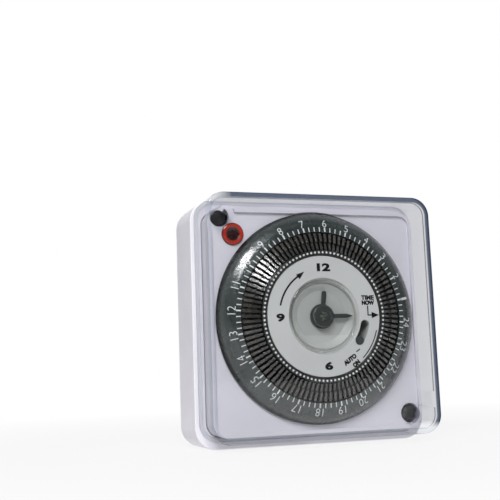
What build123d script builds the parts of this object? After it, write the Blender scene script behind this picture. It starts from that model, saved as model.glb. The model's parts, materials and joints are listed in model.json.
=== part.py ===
"""Wall-mounted 24-hour mechanical segment timer switch with a clear cover.

Frame: +Z up, the dial faces -Y, +X is to the right seen from the front.
Origin: middle of the footprint, on the plane that the case stands on.
Depths named *_D are measured back (+Y) from the front face of the clear cover.
Places named *_X and *_Z are measured from the dial axis unless they say otherwise.
Angles are in degrees, anticlockwise from the right seen from the front.
"""
import os
from math import acos, cos, hypot, pi, radians, sin, tan

from build123d import *

# ------------------------------------------------------------------ driving dimensions (mm)
CASE = 86.0                 # side of the square case
CASE_CORNER = 7.5           # outer corner radius of the case
DEPTH = 39.0                # front of the cover to the back of the case
CASE_WALL = 2.2             # side walls of the case
CASE_BACK = 2.4             # back wall of the case
CASE_EDGE = 3.0             # rounding of the back edges
CASE_RIB = 1.6              # ribs that tie the screw posts to the side walls
RIM_D = 16.4                # front face of the case rim
RIM_THICK = 2.0             # thickness of the inward lip of that rim
RIM_EDGE = 0.4              # rounding of the rim's outer edge

COVER_INSET = 1.3           # clear cover inside the case's outline, each side
COVER = CASE - 2 * COVER_INSET
COVER_CORNER = 6.6
COVER_RISE = 1.2            # cover centre above the case centre
COVER_FRONT = 1.5           # thickness of the cover's front
COVER_WALL = 1.6
COVER_EDGE = 0.7            # rounding of the cover's front edges
SEAL_WIDE = 1.2             # gasket under the foot of the cover's wall
SEAL_THICK = 0.8
RIB_HIGH = 5.6              # the cover's guide rib

FRAME_INSET = 4.2           # white front frame inside the case's outline, each side
FRAME = CASE - 2 * FRAME_INSET
FRAME_CORNER = 5.0
RIB_Z = 6.2 - FRAME / 2      # low end of the cover's guide rib
FRAME_RIM_D = 8.6           # front edge of the frame's upstand
FRAME_WALL = 1.2
RIM_CUT = 2.3               # the upstand is left off this far round the upper screw tube
PLATE_D = 9.6               # front face of the frame's plate
PLATE_THICK = 1.6
POCKET_D = 11.4             # front face of the pocket's floor
SKIRT_D = 20.0              # back edge of the frame's skirt

# fits
SLIDE_GAP = 0.15            # a sliding or passing piece in its slot, each side
RUN_GAP = 0.05              # a shaft in its bearing, on the radius
LOOSE_GAP = 0.4             # parts that pass each other with room
SEAT_GAP = 0.05             # a piece that drops into its seat, on the radius
THREAD_GAP = 0.02           # a screw in the hole that its thread bites

# dial
DIAL_RISE = 0.9             # dial axis above the case centre
DIAL_START = -4.4           # where the 24 o'clock tick stands: some 17 minutes past midnight
DIAL_EDGE_GAP = 0.7         # between the dial ring and the frame's upstand
DIAL_R = FRAME / 2 - FRAME_WALL - DIAL_EDGE_GAP
DIAL_SHOULDER = 5.1         # width of the sloping shoulder that carries the numbers
TICK_OUT_R = DIAL_R - DIAL_SHOULDER
TICK_LONG = 2.35
TICK_R = TICK_OUT_R - TICK_LONG     # where the tappets start
POCKET_R = TICK_OUT_R - 0.3 # round pocket in the plate, under the dial
DIAL_TOP_D = 3.9            # inner edge of the tick band
TICK_FALL = 0.5             # fall of the tick band outwards
DIAL_EDGE_DROP = 4.2        # fall of the shoulder from the tick band to the outer edge
DIAL_BOW = 0.55             # how far the shoulder stands proud of a straight slope
DIAL_SKIN = 1.4
TAPPETS = 96                # one for each quarter of an hour
TAPPET_GROUP = 8            # tappets in a node: two hours
TAPPET_SHARE = 0.52         # share of the pitch that a finger fills
TAPPET_STEP_R = TICK_R - 3.55       # where the finger steps down
TAPPET_IN_R = TICK_R - 6.4
TAPPET_TOP_D = 4.25         # top of the finger at its outer end
TAPPET_SLOPE = 22.0         # rise of the finger's top towards the axis, in degrees
TAPPET_STEP = 0.6
TAPPET_DEEP = 1.25          # height of the finger's blade at its outer end
TAPPET_STROKE = 1.4
LEG_WIDE = 0.7              # the leg that runs through the carrier
LEG_IN_R = TICK_R - 3.45
LEG_OUT_R = TICK_R - 0.65
CARRIER_TOP_D = 5.8
CARRIER_BACK_D = 8.6
CARRIER_HUB_TOP_D = 3.7
FLANGE = 0.7                # carrier flange that the dial ring stands on
FLANGE_WIDE = 1.4
DOT_WIDE = 1.8              # raised inner ring
DOT_TOP_D = 1.9
DOT_OUT_R = TAPPET_IN_R - 2 * SLIDE_GAP
DOT_IN_R = DOT_OUT_R - DOT_WIDE

# centre
DISC_R = DOT_IN_R - SLIDE_GAP       # pale face disc
DISC_D = 2.2
DISC_THICK = 1.0
PEDESTAL_R = DISC_R - 2.3   # journal that the dial turns on
PEDESTAL_WALL = 1.2
PEDESTAL_TOP = 1.0
WELL_R = PEDESTAL_R - 6.1   # recess that the hands turn in
WELL_WALL = 0.9
WELL_FLOOR_D = 5.4
CRYSTAL_R = WELL_R + 0.6
CRYSTAL_D = 1.9
CRYSTAL_THICK = 0.8
FOOT_R = PEDESTAL_R - 3.2    # bosses that hold the pedestal to the plate
FOOT_TURNS = (60, 150, 240)
FOOT_BOSS_R = 1.7
FOOT_SCREW_R = 0.9
FOOT_SCREW_BITE = 4.0
FOOT_SCREW_HEAD = 1.0

# hands
HUB_R = 3.85
HUB_D = 2.95
HUB_RIM = 1.2
HUB_DIP = 0.35
STAR_LONG = 2.0
STAR_WIDE = 0.5
HAND_THICK = 0.45
MINUTE_LONG = WELL_R - 1.5
HOUR_LONG = WELL_R - 3.5
HAND_WIDE = 1.5
MINUTE_HAND_D = 3.5
HOUR_HAND_D = 4.35
HOUR_BOSS = 0.8
MINUTE_TURN = 0.0           # a quarter past
HOUR_TURN = 82.5            # a quarter past twelve
ARBOR_R = 0.75
PIPE_R = 1.5

# override lever
SLOT_R = PEDESTAL_R - 3.1    # radius of the lever's curved slot
SLOT_WIDE = 3.2
KNOB_GAP = 0.1
LEVER_REST = -34.0          # AUTO
LEVER_TRAVEL = 22.0         # to ON
LEVER_D = 13.3
LEVER_THICK = 1.0
LEVER_BORE_R = 6.0
LEVER_RING_R = 8.0
LEVER_ARM = 2.4
FOLLOWER_X = TICK_R - 2.05
TRACK_IN_R = FOLLOWER_X + 2.0       # curved end that passes in front of the follower
TRACK_OUT_R = TRACK_IN_R + 2.0
TRACK_START = -35.0
TRACK_END = -6.0

# gears
DAY_MODULE = PEDESTAL_R / 37        # the dial gear's bore runs on the pedestal
DIAL_TEETH = 80
DAY_PINION_TEETH = 10
DAY_WHEEL_TEETH = 72
DAY_ANGLE = 200.0           # direction of the day arbor from the dial axis
DAY_SHAFT_R = 1.0
DIAL_GEAR_THICK = 1.8
MOTION_MODULE = 0.5
CANNON_TEETH = 12
MINUTE_TEETH = 36
HOUR_PINION_TEETH = 12
HOUR_TEETH = 48
MOTION_ANGLE = 250.0
STUD_R = 0.8
DRIVE_MODULE = 0.4
DRIVE_TEETH = 48
DRIVE_THICK = 1.0
MOTOR_TEETH = 12
MOTOR_ANGLE = 120.0
MOTOR_SHAFT_R = 0.9
PRESSURE = radians(20.0)
BACKLASH = 0.10
GEAR_GAP = 0.3              # between wheels in neighbouring layers
WHEEL_THICK = 1.4
WHEEL_HOLE_R = 2.6          # lightening holes of the day wheel
WHEEL_RIM = 2.2
HOUR_SLEEVE_R = 4.0         # between the two wheels of the hour pipe

# rear plate, motor
REAR_PLATE_GAP = 1.4        # from the drive wheel to the rear plate
REAR_PLATE_THICK = 1.2
REAR_PLATE = FRAME - 19.6
REAR_PLATE_CORNER = 4.0
PILLAR_X = REAR_PLATE / 2 - 4.0
PILLAR_Z = REAR_PLATE / 2 - 5.0
PILLAR_R = 2.4
SMALL_SCREW_R = 1.25
SMALL_HEAD = 1.3
PLATE_SCREW_BITE = 4.8
MOTOR_R = REAR_PLATE / 2 - 13.0
MOTOR_CLEAR = 2.4           # from the can to the case's back wall
MOTOR_WALL = 0.8
MOTOR_LUG_R = 2.8
MOTOR_LUG_TURN = 15.0
COIL_IN_R = MOTOR_R * 0.5375
PACK_R = COIL_IN_R - 0.4     # sealed reduction gear and rotor

# switch
FOLLOWER_WIDE = 2.0         # along X
FOLLOWER_HIGH = 3.0         # along Z
FOLLOWER_SHOULDER = 0.4
SWITCH_D = 16.0
SWITCH_WIDE = 11.0
SWITCH_HIGH = 20.0
SWITCH_WALL = 1.0
SWITCH_LID = 0.8
BUTTON_R = 1.0
BUTTON_PROUD = 1.0          # more than the follower's travel
BUTTON_FLANGE = 0.5
BLADE_THICK = 0.3
BLADE_WIDE = 4.0
CONTACT_R = 1.2
CONTACT_Z = 6.0
TAB_WIDE = 3.2
TAB_LONG = 5.0
TAB_SPREAD = 3.0
PEG_R = 1.0                 # moulded pegs that hold the switch and the terminals

# terminals
TERMINALS = 4
TERMINAL_PITCH = (2 * PILLAR_X - 10.0) / TERMINALS
TERMINAL_HIGH = 12.0
TERMINAL_CLEAR = 1.4        # from the block to the case's back wall
TERMINAL_Z = 6.0 - REAR_PLATE / 2
TERMINAL_WALL = 2.0
CLAMP = 6.0
CLAMP_FLOOR = 1.5
CLAMP_COVER = 3.0
WIRE_SHARE = 0.486          # wire way's bore as a share of the clamp's depth
WIRE_WALL = 1.0

# screws, neon, wall fixings
SCREW_X = FRAME / 2 - 4.4    # from the cover centre
SCREW_Z = FRAME / 2 - 4.05   # from the cover centre
SCREW_R = 1.5
SCREW_HEAD_R = 2.65
SCREW_HEAD = 1.8
SCREW_SINK = 1.0            # heads of the frame screws below the back face
TUBE_R = 3.3                # the cover's screw tube
TUBE_WALL = 0.5
TUBE_FLOOR = 1.4
TUBE_FOOT_D = 14.0
BOSS_R = 3.0                # the frame's screw bosses
BOSS_FOOT_D = 17.0
BOSS_BITE = 3.4
POST_R = 3.4                # the case's screw posts
INSERT_R = 2.4
INSERT_LONG = 8.0
SCREW_TAIL = 3.0            # beyond the insert
NEON_ANGLE = 135.7          # direction from the dial axis
NEON_GAP = 0.8              # between the neon and the dial ring
NEON_TUBE_GAP = 0.2
NEON_PROUD = 0.9
NEON_RIM = 1.35
NEON_DIP = 0.4
NEON_STEP = 0.5
NEON_TAIL = 1.5
LAMP_R = 1.6
LAMP_LONG = 9.0
FIXING_PITCH = 60.3
FIXING_R = 2.1
ENTRY_R = 5.0

# ------------------------------------------------------------------ derived places
FRONT_Y = -DEPTH / 2
BACK_D = DEPTH - CASE_BACK              # inside of the case's back wall
TUBE_REACH = hypot(SCREW_X, SCREW_Z + COVER_RISE - DIAL_RISE)
NEON_R = (TUBE_REACH - TUBE_R - DIAL_R - NEON_GAP - NEON_TUBE_GAP) / 2
NEON_X = (DIAL_R + NEON_GAP + NEON_R) * cos(radians(NEON_ANGLE))
NEON_Z = (DIAL_R + NEON_GAP + NEON_R) * sin(radians(NEON_ANGLE))
NEON_DIP_R = NEON_R - NEON_RIM
CASE_Z = CASE / 2                       # height of the case centre
AXIS_Z = CASE_Z + DIAL_RISE             # height of the dial axis
COVER_Z = CASE_Z + COVER_RISE           # height of the cover centre
RIM_BACK_D = RIM_D + RIM_THICK
PLATE_BACK_D = PLATE_D + PLATE_THICK
POCKET_BACK_D = POCKET_D + PLATE_THICK
DIAL_FOOT_D = PLATE_D - LOOSE_GAP
DISC_BACK_D = DISC_D + DISC_THICK
LEVER_BACK_D = LEVER_D + LEVER_THICK
DIAL_GEAR_BACK_D = CARRIER_BACK_D + DIAL_GEAR_THICK
DAY_IDLER_TEETH = DIAL_TEETH + DAY_PINION_TEETH - DAY_WHEEL_TEETH
HOUR_MODULE = MOTION_MODULE * (CANNON_TEETH + MINUTE_TEETH) / (HOUR_PINION_TEETH + HOUR_TEETH)
DAY_WHEEL_D = LEVER_BACK_D + LOOSE_GAP
HOUR_WHEEL_D = DAY_WHEEL_D + WHEEL_THICK + GEAR_GAP
MINUTE_WHEEL_D = HOUR_WHEEL_D + WHEEL_THICK + 2 * GEAR_GAP
DRIVE_WHEEL_D = MINUTE_WHEEL_D + WHEEL_THICK + GEAR_GAP
REAR_PLATE_D = DRIVE_WHEEL_D + DRIVE_THICK + REAR_PLATE_GAP
DAY_REACH = DAY_MODULE * (DIAL_TEETH + DAY_PINION_TEETH) / 2
MOTION_REACH = MOTION_MODULE * (CANNON_TEETH + MINUTE_TEETH) / 2
DRIVE_REACH = DRIVE_MODULE * (DRIVE_TEETH + MOTOR_TEETH) / 2
PEDESTAL_BORE_R = PEDESTAL_R - PEDESTAL_WALL
CARRIER_BORE_R = PEDESTAL_R + RUN_GAP
PIPE_BORE_R = ARBOR_R + RUN_GAP
MOTOR_D = REAR_PLATE_D + REAR_PLATE_THICK
ARBOR_END_D = MOTOR_D - 0.2
MOTOR_DEEP = BACK_D - MOTOR_D - MOTOR_CLEAR
TERMINAL_DEEP = BACK_D - MOTOR_D - TERMINAL_CLEAR
CLAMP_DEEP = TERMINAL_DEEP - CLAMP_FLOOR - CLAMP_COVER
WIRE_R = CLAMP_DEEP * WIRE_SHARE / 2
WIRE_IN = CLAMP_FLOOR + WIRE_WALL * CLAMP_DEEP / 7 + WIRE_R
PITCH = 360.0 / TAPPETS


# ------------------------------------------------------------------ shape helpers
def polar(radius, angle):
    """X and Z of a point at a radius and an angle from the dial axis."""
    return radius * cos(radians(angle)), radius * sin(radians(angle))


def slab(sketch, d0, d1, z=AXIS_Z):
    """Extrude a sketch drawn in X and Z, about height z, between two depths."""
    plane = Plane(origin=(0, FRONT_Y + d1, z), x_dir=(1, 0, 0), z_dir=(0, -1, 0))
    return extrude(plane * sketch, amount=d1 - d0)


def rod(radius, d0, d1, x=0.0, z=0.0, base=AXIS_Z):
    """Round bar along the depth at x, z."""
    return slab(Pos(x, z) * Circle(radius), d0, d1, base)


def ring(outer, inner, d0, d1, x=0.0, z=0.0, base=AXIS_Z):
    return slab(Pos(x, z) * (Circle(outer) - Circle(inner)), d0, d1, base)


def block(x0, x1, z0, z1, d0, d1, base=AXIS_Z):
    shape = Pos((x0 + x1) / 2, (z0 + z1) / 2) * Rectangle(x1 - x0, z1 - z0)
    return slab(shape, d0, d1, base)


def square(side, corner):
    return RectangleRounded(side, side, corner)


def turn(shape, angle):
    """Turn a solid about the dial axis, anticlockwise seen from the front."""
    return Pos(0, 0, AXIS_Z) * Rot(0, -angle, 0) * Pos(0, 0, -AXIS_Z) * shape


def round_front(body, radius):
    return fillet(body.faces().sort_by(Axis.Y)[0].edges(), radius)


def round_back(body, radius):
    return fillet(body.faces().sort_by(Axis.Y)[-1].edges(), radius)


def involute(angle):
    return tan(angle) - angle


def gear(teeth, module, addendum, tooth_at, d0, d1, bore, x=0.0, z=0.0):
    """Spur wheel whose teeth have involute flanks, one tooth centred on tooth_at."""
    pitch_r = module * teeth / 2
    base_r = pitch_r * cos(PRESSURE)
    root_r = pitch_r - 1.15 * module
    tip_r = pitch_r + addendum * module
    half = pi / (2 * teeth) - BACKLASH / (2 * pitch_r) + involute(PRESSURE)
    start_r = max(base_r, root_r)
    radii = [start_r + (tip_r - start_r) * k / 3 for k in range(4)]
    flank = [(r, half - involute(acos(min(1.0, base_r / r)))) for r in radii]
    if root_r < base_r:
        flank.insert(0, (root_r, flank[0][1]))
    points = []
    for n in range(teeth):
        middle = radians(tooth_at) + 2 * pi * n / teeth
        for r, a in flank:
            points.append((r * cos(middle - a), r * sin(middle - a)))
        for r, a in reversed(flank):
            points.append((r * cos(middle + a), r * sin(middle + a)))
    outline = make_face(Polyline(*points, close=True))
    if bore > 0:
        outline = outline - Circle(bore)
    return slab(Pos(x, z) * outline, d0, d1)


def one(shape):
    """The single solid that a piece is made of."""
    solids = shape.solids()
    assert len(solids) == 1, f"{len(solids)} solids"
    return solids[0]


PARTS = {}


def keep(name, shape):
    PARTS[name] = shape


def group(shapes):
    return Compound(children=[one(s) for s in shapes])


# cover screws at the upper left and lower right, frame screws at the other two corners
COVER_SCREWS = [(-SCREW_X, SCREW_Z), (SCREW_X, -SCREW_Z)]
FRAME_SCREWS = [(-SCREW_X, -SCREW_Z), (SCREW_X, SCREW_Z)]


# ------------------------------------------------------------------ case
def seal_ring(gap):
    """Square gasket let into the rim under the cover's wall, less a gap all round."""
    middle = COVER - COVER_WALL
    corner = COVER_CORNER - COVER_WALL / 2
    outer = square(middle + SEAL_WIDE - 2 * gap, corner + SEAL_WIDE / 2 - gap)
    inner = square(middle - SEAL_WIDE + 2 * gap, corner - SEAL_WIDE / 2 + gap)
    return slab(outer - inner, RIM_D, RIM_D + SEAL_THICK - gap, COVER_Z)


def rear_case():
    inner = CASE - 2 * CASE_WALL
    body = slab(square(CASE, CASE_CORNER), RIM_D, DEPTH, CASE_Z)
    body = round_back(body, CASE_EDGE)
    body = round_front(body, RIM_EDGE)
    body -= slab(square(inner, CASE_CORNER - CASE_WALL), RIM_BACK_D, BACK_D, CASE_Z)
    mouth = square(FRAME + 2 * LOOSE_GAP, FRAME_CORNER + LOOSE_GAP)
    body -= slab(mouth, RIM_D, RIM_BACK_D, CASE_Z)
    body -= seal_ring(0.0)
    for x, z in COVER_SCREWS:
        body += rod(POST_R, TUBE_FOOT_D, BACK_D, x, z, COVER_Z)
    for x, z in FRAME_SCREWS:
        body += rod(POST_R, BOSS_FOOT_D, BACK_D, x, z, COVER_Z)
    rib_d = SKIRT_D + LOOSE_GAP
    for x, z in COVER_SCREWS + FRAME_SCREWS:
        side = inner / 2 if x > 0 else -inner / 2
        half = CASE_RIB / 2
        body += block(min(x, side), max(x, side), z - half, z + half, rib_d, BACK_D, COVER_Z)
    for x, z in COVER_SCREWS:
        insert_d = TUBE_FOOT_D + INSERT_LONG
        body -= rod(INSERT_R + SEAT_GAP, TUBE_FOOT_D, insert_d, x, z, COVER_Z)
        body -= rod(SCREW_R + LOOSE_GAP, insert_d, insert_d + 2 * SCREW_TAIL, x, z, COVER_Z)
    for x, z in FRAME_SCREWS:
        body -= rod(SCREW_R + LOOSE_GAP, BOSS_FOOT_D, DEPTH, x, z, COVER_Z)
        sink_d = DEPTH - SCREW_HEAD - SCREW_SINK
        body -= rod(SCREW_HEAD_R + LOOSE_GAP, sink_d, DEPTH, x, z, COVER_Z)
    for side in (-1, 1):
        body -= rod(FIXING_R, BACK_D, DEPTH, side * FIXING_PITCH / 2, 0, CASE_Z)
    entry_y = FRONT_Y + (RIM_BACK_D + BACK_D) / 2
    return one(body - Pos(0, entry_y, CASE_WALL / 2) * Cylinder(ENTRY_R, CASE_WALL))


def cover():
    inner = COVER - 2 * COVER_WALL
    body = slab(square(COVER, COVER_CORNER), 0, RIM_D, COVER_Z)
    body = round_front(body, COVER_EDGE)
    body -= slab(square(inner, COVER_CORNER - COVER_WALL), COVER_FRONT, RIM_D, COVER_Z)
    for x, z in COVER_SCREWS:
        body += rod(TUBE_R, COVER_FRONT / 2, TUBE_FOOT_D, x, z, COVER_Z)
        body -= rod(TUBE_R - TUBE_WALL, 0, TUBE_FOOT_D - TUBE_FLOOR, x, z, COVER_Z)
        body -= rod(SCREW_R + LOOSE_GAP / 2, 0, TUBE_FOOT_D, x, z, COVER_Z)
    # guide rib on the right-hand wall that steadies the cover on the frame
    rib_in = FRAME / 2 + SLIDE_GAP
    rib_out = (inner + COVER_WALL) / 2
    return one(body + block(rib_in, rib_out, RIB_Z, RIB_Z + RIB_HIGH, COVER_FRONT / 2, RIM_D))


def cover_screw(x, z):
    """Round-headed cross screw that stays captive in the cover's tube."""
    seat_d = TUBE_FOOT_D - TUBE_FLOOR
    head_d = seat_d - SCREW_HEAD
    body = round_front(rod(SCREW_HEAD_R, head_d, seat_d, x, z, COVER_Z), 0.5)
    body += rod(SCREW_R, seat_d, TUBE_FOOT_D + INSERT_LONG + SCREW_TAIL, x, z, COVER_Z)
    for angle in (0, 90):
        slot = Pos(x, z) * Rot(0, 0, angle) * Rectangle(2 * SCREW_R, 0.6)
        body -= slab(slot, head_d, head_d + SCREW_HEAD / 2, COVER_Z)
    return one(body)


def cover_insert(x, z):
    bore = SCREW_R + RUN_GAP
    return ring(INSERT_R, bore, TUBE_FOOT_D, TUBE_FOOT_D + INSERT_LONG, x, z, COVER_Z)


def frame_screw(x, z):
    """Screw put in from the back, through the case post into the frame's boss."""
    head_d = DEPTH - SCREW_SINK - SCREW_HEAD
    end_d = head_d + SCREW_HEAD
    body = rod(SCREW_HEAD_R, head_d, end_d, x, z, COVER_Z)
    body += rod(SCREW_R, BOSS_FOOT_D - BOSS_BITE, head_d, x, z, COVER_Z)
    slot = Pos(x, z) * Rectangle(2.4 * SCREW_R, 0.7)
    return body - slab(slot, end_d - SCREW_HEAD / 2, end_d, COVER_Z)


keep("rear_case", rear_case())
keep("cover", cover())
keep("cover_seal", one(seal_ring(SEAT_GAP)))
keep("cover_screw_upper", cover_screw(*COVER_SCREWS[0]))
keep("cover_screw_lower", cover_screw(*COVER_SCREWS[1]))
keep("cover_screw_inserts", group([cover_insert(x, z) for x, z in COVER_SCREWS]))
keep("frame_screws", group([frame_screw(x, z) for x, z in FRAME_SCREWS]))


# ------------------------------------------------------------------ front frame
DAY_X, DAY_Z = polar(DAY_REACH, DAY_ANGLE)
MOTION_X, MOTION_Z = polar(MOTION_REACH, MOTION_ANGLE)
MOTOR_X, MOTOR_Z = polar(DRIVE_REACH, MOTOR_ANGLE)
PILLARS = [(sx * PILLAR_X, sz * PILLAR_Z) for sx in (-1, 1) for sz in (-1, 1)]
FEET = [polar(FOOT_R, angle) for angle in FOOT_TURNS]


def curved_slot(radius, wide, start, end):
    """Slot with round ends that follows an arc about the dial axis."""
    shape = trace(CenterArc((0, 0), radius, start, end - start), wide)
    for angle in (start, end):
        shape += Pos(*polar(radius, angle)) * Circle(wide / 2)
    return shape


def lever_slot(extra=0.0):
    return curved_slot(SLOT_R, SLOT_WIDE + 2 * extra, LEVER_REST, LEVER_REST + LEVER_TRAVEL)


def front_frame():
    """White tray round the dial: upstand, plate, round pocket, skirt, bosses, pillars."""
    inner = FRAME - 2 * FRAME_WALL
    hollow = square(inner, FRAME_CORNER - FRAME_WALL)
    body = slab(square(FRAME, FRAME_CORNER), FRAME_RIM_D, SKIRT_D, CASE_Z)
    body -= slab(hollow, FRAME_RIM_D, PLATE_D, CASE_Z)
    body -= slab(hollow, PLATE_BACK_D, SKIRT_D, CASE_Z)
    body -= rod(DIAL_R + LOOSE_GAP, FRAME_RIM_D, PLATE_D)
    body -= rod(TUBE_R + RIM_CUT, FRAME_RIM_D, PLATE_D, *COVER_SCREWS[0], COVER_Z)
    body += rod(POCKET_R + PLATE_THICK, PLATE_D, POCKET_BACK_D)
    body -= rod(POCKET_R, PLATE_D, POCKET_D)
    for x, z in COVER_SCREWS:
        body -= rod(TUBE_R + SLIDE_GAP, FRAME_RIM_D, PLATE_BACK_D, x, z, COVER_Z)
        body -= rod(POST_R + LOOSE_GAP, PLATE_BACK_D, SKIRT_D, x, z, COVER_Z)
    for x, z in FRAME_SCREWS:
        body -= rod(POST_R + LOOSE_GAP, BOSS_FOOT_D, SKIRT_D, x, z, COVER_Z)
        body += rod(BOSS_R, PLATE_D + PLATE_THICK / 2, BOSS_FOOT_D, x, z, COVER_Z)
        body -= rod(SCREW_R + THREAD_GAP, PLATE_BACK_D + SLIDE_GAP, BOSS_FOOT_D, x, z, COVER_Z)
    for x, z in PILLARS:
        body += rod(PILLAR_R, PLATE_D + PLATE_THICK / 2, REAR_PLATE_D, x, z)
        bite_d = REAR_PLATE_D - PLATE_SCREW_BITE - LOOSE_GAP
        body -= rod(SMALL_SCREW_R + THREAD_GAP, bite_d, REAR_PLATE_D, x, z)
    # boss that guides the hour pipe; the override lever turns on its outside
    body += rod(LEVER_BORE_R, POCKET_D + PLATE_THICK / 2, LEVER_BACK_D)
    body -= rod(PIPE_R + RUN_GAP, POCKET_D, LEVER_BACK_D)
    body -= slab(lever_slot(2 * SLIDE_GAP), POCKET_D, POCKET_BACK_D)
    body -= rod(DAY_SHAFT_R + RUN_GAP, POCKET_D, POCKET_BACK_D, DAY_X, DAY_Z)
    for x, z in FEET:
        body -= rod(FOOT_SCREW_R + SLIDE_GAP, POCKET_D, POCKET_BACK_D, x, z)
    half_x = FOLLOWER_WIDE / 2 + SLIDE_GAP
    half_z = FOLLOWER_HIGH / 2 + SLIDE_GAP
    body -= block(FOLLOWER_X - half_x, FOLLOWER_X + half_x, -half_z, half_z, POCKET_D, POCKET_BACK_D)
    return one(body - rod(NEON_R - NEON_STEP, PLATE_D, PLATE_BACK_D, NEON_X, NEON_Z))


keep("front_frame", front_frame())


# ------------------------------------------------------------------ pedestal, disc, crystal
def pedestal():
    """Fixed core that the dial turns on, with the recess for the hands."""
    top_d = DISC_BACK_D + PEDESTAL_TOP
    floor_d = WELL_FLOOR_D + PEDESTAL_TOP
    body = rod(PEDESTAL_R, DISC_BACK_D, POCKET_D)
    body -= rod(PEDESTAL_BORE_R, top_d, POCKET_D)
    body += rod(WELL_R + WELL_WALL, DISC_BACK_D, floor_d)
    body -= rod(WELL_R, DISC_BACK_D, WELL_FLOOR_D)
    body -= rod(PIPE_R + RUN_GAP, WELL_FLOOR_D, floor_d)
    for x, z in FEET:
        body += rod(FOOT_BOSS_R, DISC_BACK_D + PEDESTAL_TOP / 2, POCKET_D, x, z)
        body -= rod(FOOT_SCREW_R + THREAD_GAP, top_d, POCKET_D, x, z)
    return one(body - slab(lever_slot(SLIDE_GAP), DISC_BACK_D, floor_d))


def face_disc():
    body = rod(DISC_R, DISC_D, DISC_BACK_D)
    body -= rod(CRYSTAL_R + SEAT_GAP, DISC_D, DISC_BACK_D)
    return one(body - slab(lever_slot(), DISC_D, DISC_BACK_D))


def crystal():
    body = rod(CRYSTAL_R, CRYSTAL_D, DISC_BACK_D)
    body = chamfer(body.faces().sort_by(Axis.Y)[0].edges(), 0.25)
    return one(body - rod(WELL_R, CRYSTAL_D + CRYSTAL_THICK, DISC_BACK_D))


def small_screw(x, z, head_d, long, radius, head):
    """Cheese-headed screw whose head faces the back."""
    body = rod(radius * 1.9, head_d, head_d + head, x, z)
    body += rod(radius, head_d - long, head_d, x, z)
    slot = Pos(x, z) * Rectangle(radius * 2.6, radius * 0.4)
    return body - slab(slot, head_d + head / 2, head_d + head)


keep("pedestal", pedestal())
keep("face_disc", face_disc())
keep("hand_crystal", crystal())
keep("pedestal_screws", group([
    small_screw(x, z, POCKET_BACK_D, PLATE_THICK + FOOT_SCREW_BITE, FOOT_SCREW_R, FOOT_SCREW_HEAD)
    for x, z in FEET]))


# ------------------------------------------------------------------ dial
TAPPET_ANGLES = [DIAL_START + PITCH * (n + 1) for n in range(TAPPETS)]
TAPPET_OUT_R = TICK_R - 3 * SLIDE_GAP


def wedge(inner, outer, gap):
    """Plan of one finger along +X, with the same gap added all round."""
    slope = tan(radians(TAPPET_SHARE * PITCH / 2))
    near = inner * slope + gap
    far = outer * slope + gap
    corners = [(inner - gap, -near), (outer + gap, -far), (outer + gap, far), (inner - gap, near)]
    return make_face(Polyline(*corners, close=True))


def leg_plan(gap):
    middle = (LEG_IN_R + LEG_OUT_R) / 2
    long = LEG_OUT_R - LEG_IN_R + 2 * gap
    return Pos(middle, 0) * Rectangle(long, LEG_WIDE + 2 * gap)


def dial_ring():
    """Dark ring with the hour scale: a tick band, a bowed shoulder and a short skirt."""
    band_d = DIAL_TOP_D + TICK_FALL
    edge_d = band_d + DIAL_EDGE_DROP
    foot_d = CARRIER_BACK_D - FLANGE
    foot_r = TICK_R + FLANGE_WIDE
    under_d = band_d + DIAL_SKIN

    def at(r, d):
        return (r, FRONT_Y + d, AXIS_Z)

    mid_r = (TICK_OUT_R + DIAL_R) / 2 + DIAL_BOW
    mid_d = band_d + DIAL_EDGE_DROP / 2 - DIAL_BOW
    shoulder = ThreePointArc(at(TICK_OUT_R, band_d), at(mid_r, mid_d), at(DIAL_R, edge_d))
    rest = Polyline(at(DIAL_R, edge_d), at(DIAL_R, DIAL_FOOT_D), at(DIAL_R - DIAL_SKIN, DIAL_FOOT_D),
                    at(TICK_OUT_R, under_d), at(foot_r, under_d), at(foot_r, foot_d),
                    at(TICK_R, foot_d), at(TICK_R, DIAL_TOP_D), at(TICK_OUT_R, band_d))
    face = make_face([shoulder, rest])
    return one(revolve(face, Axis((0, 0, AXIS_Z), (0, 1, 0)), 360))


def carrier():
    """Black ring with a slot for each tappet and the dial's bearing bore."""
    bore = CARRIER_BORE_R
    flange_d = CARRIER_BACK_D - FLANGE
    body = ring(TICK_R - SEAT_GAP, bore, CARRIER_TOP_D, CARRIER_BACK_D)
    body += ring(TICK_R + FLANGE_WIDE, bore, flange_d, CARRIER_BACK_D)
    body += ring(DOT_IN_R - SEAT_GAP, bore, CARRIER_HUB_TOP_D, CARRIER_TOP_D)
    trough_d = TAPPET_TOP_D + TAPPET_DEEP + TAPPET_STROKE + SLIDE_GAP
    blade = wedge(TAPPET_IN_R, TAPPET_OUT_R, SLIDE_GAP)
    leg = leg_plan(SLIDE_GAP)
    blades = Sketch() + [Rot(0, 0, a) * blade for a in TAPPET_ANGLES]
    legs = Sketch() + [Rot(0, 0, a) * leg for a in TAPPET_ANGLES]
    body -= slab(blades, CARRIER_TOP_D, trough_d)
    return one(body - slab(legs, CARRIER_TOP_D, CARRIER_BACK_D))


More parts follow.
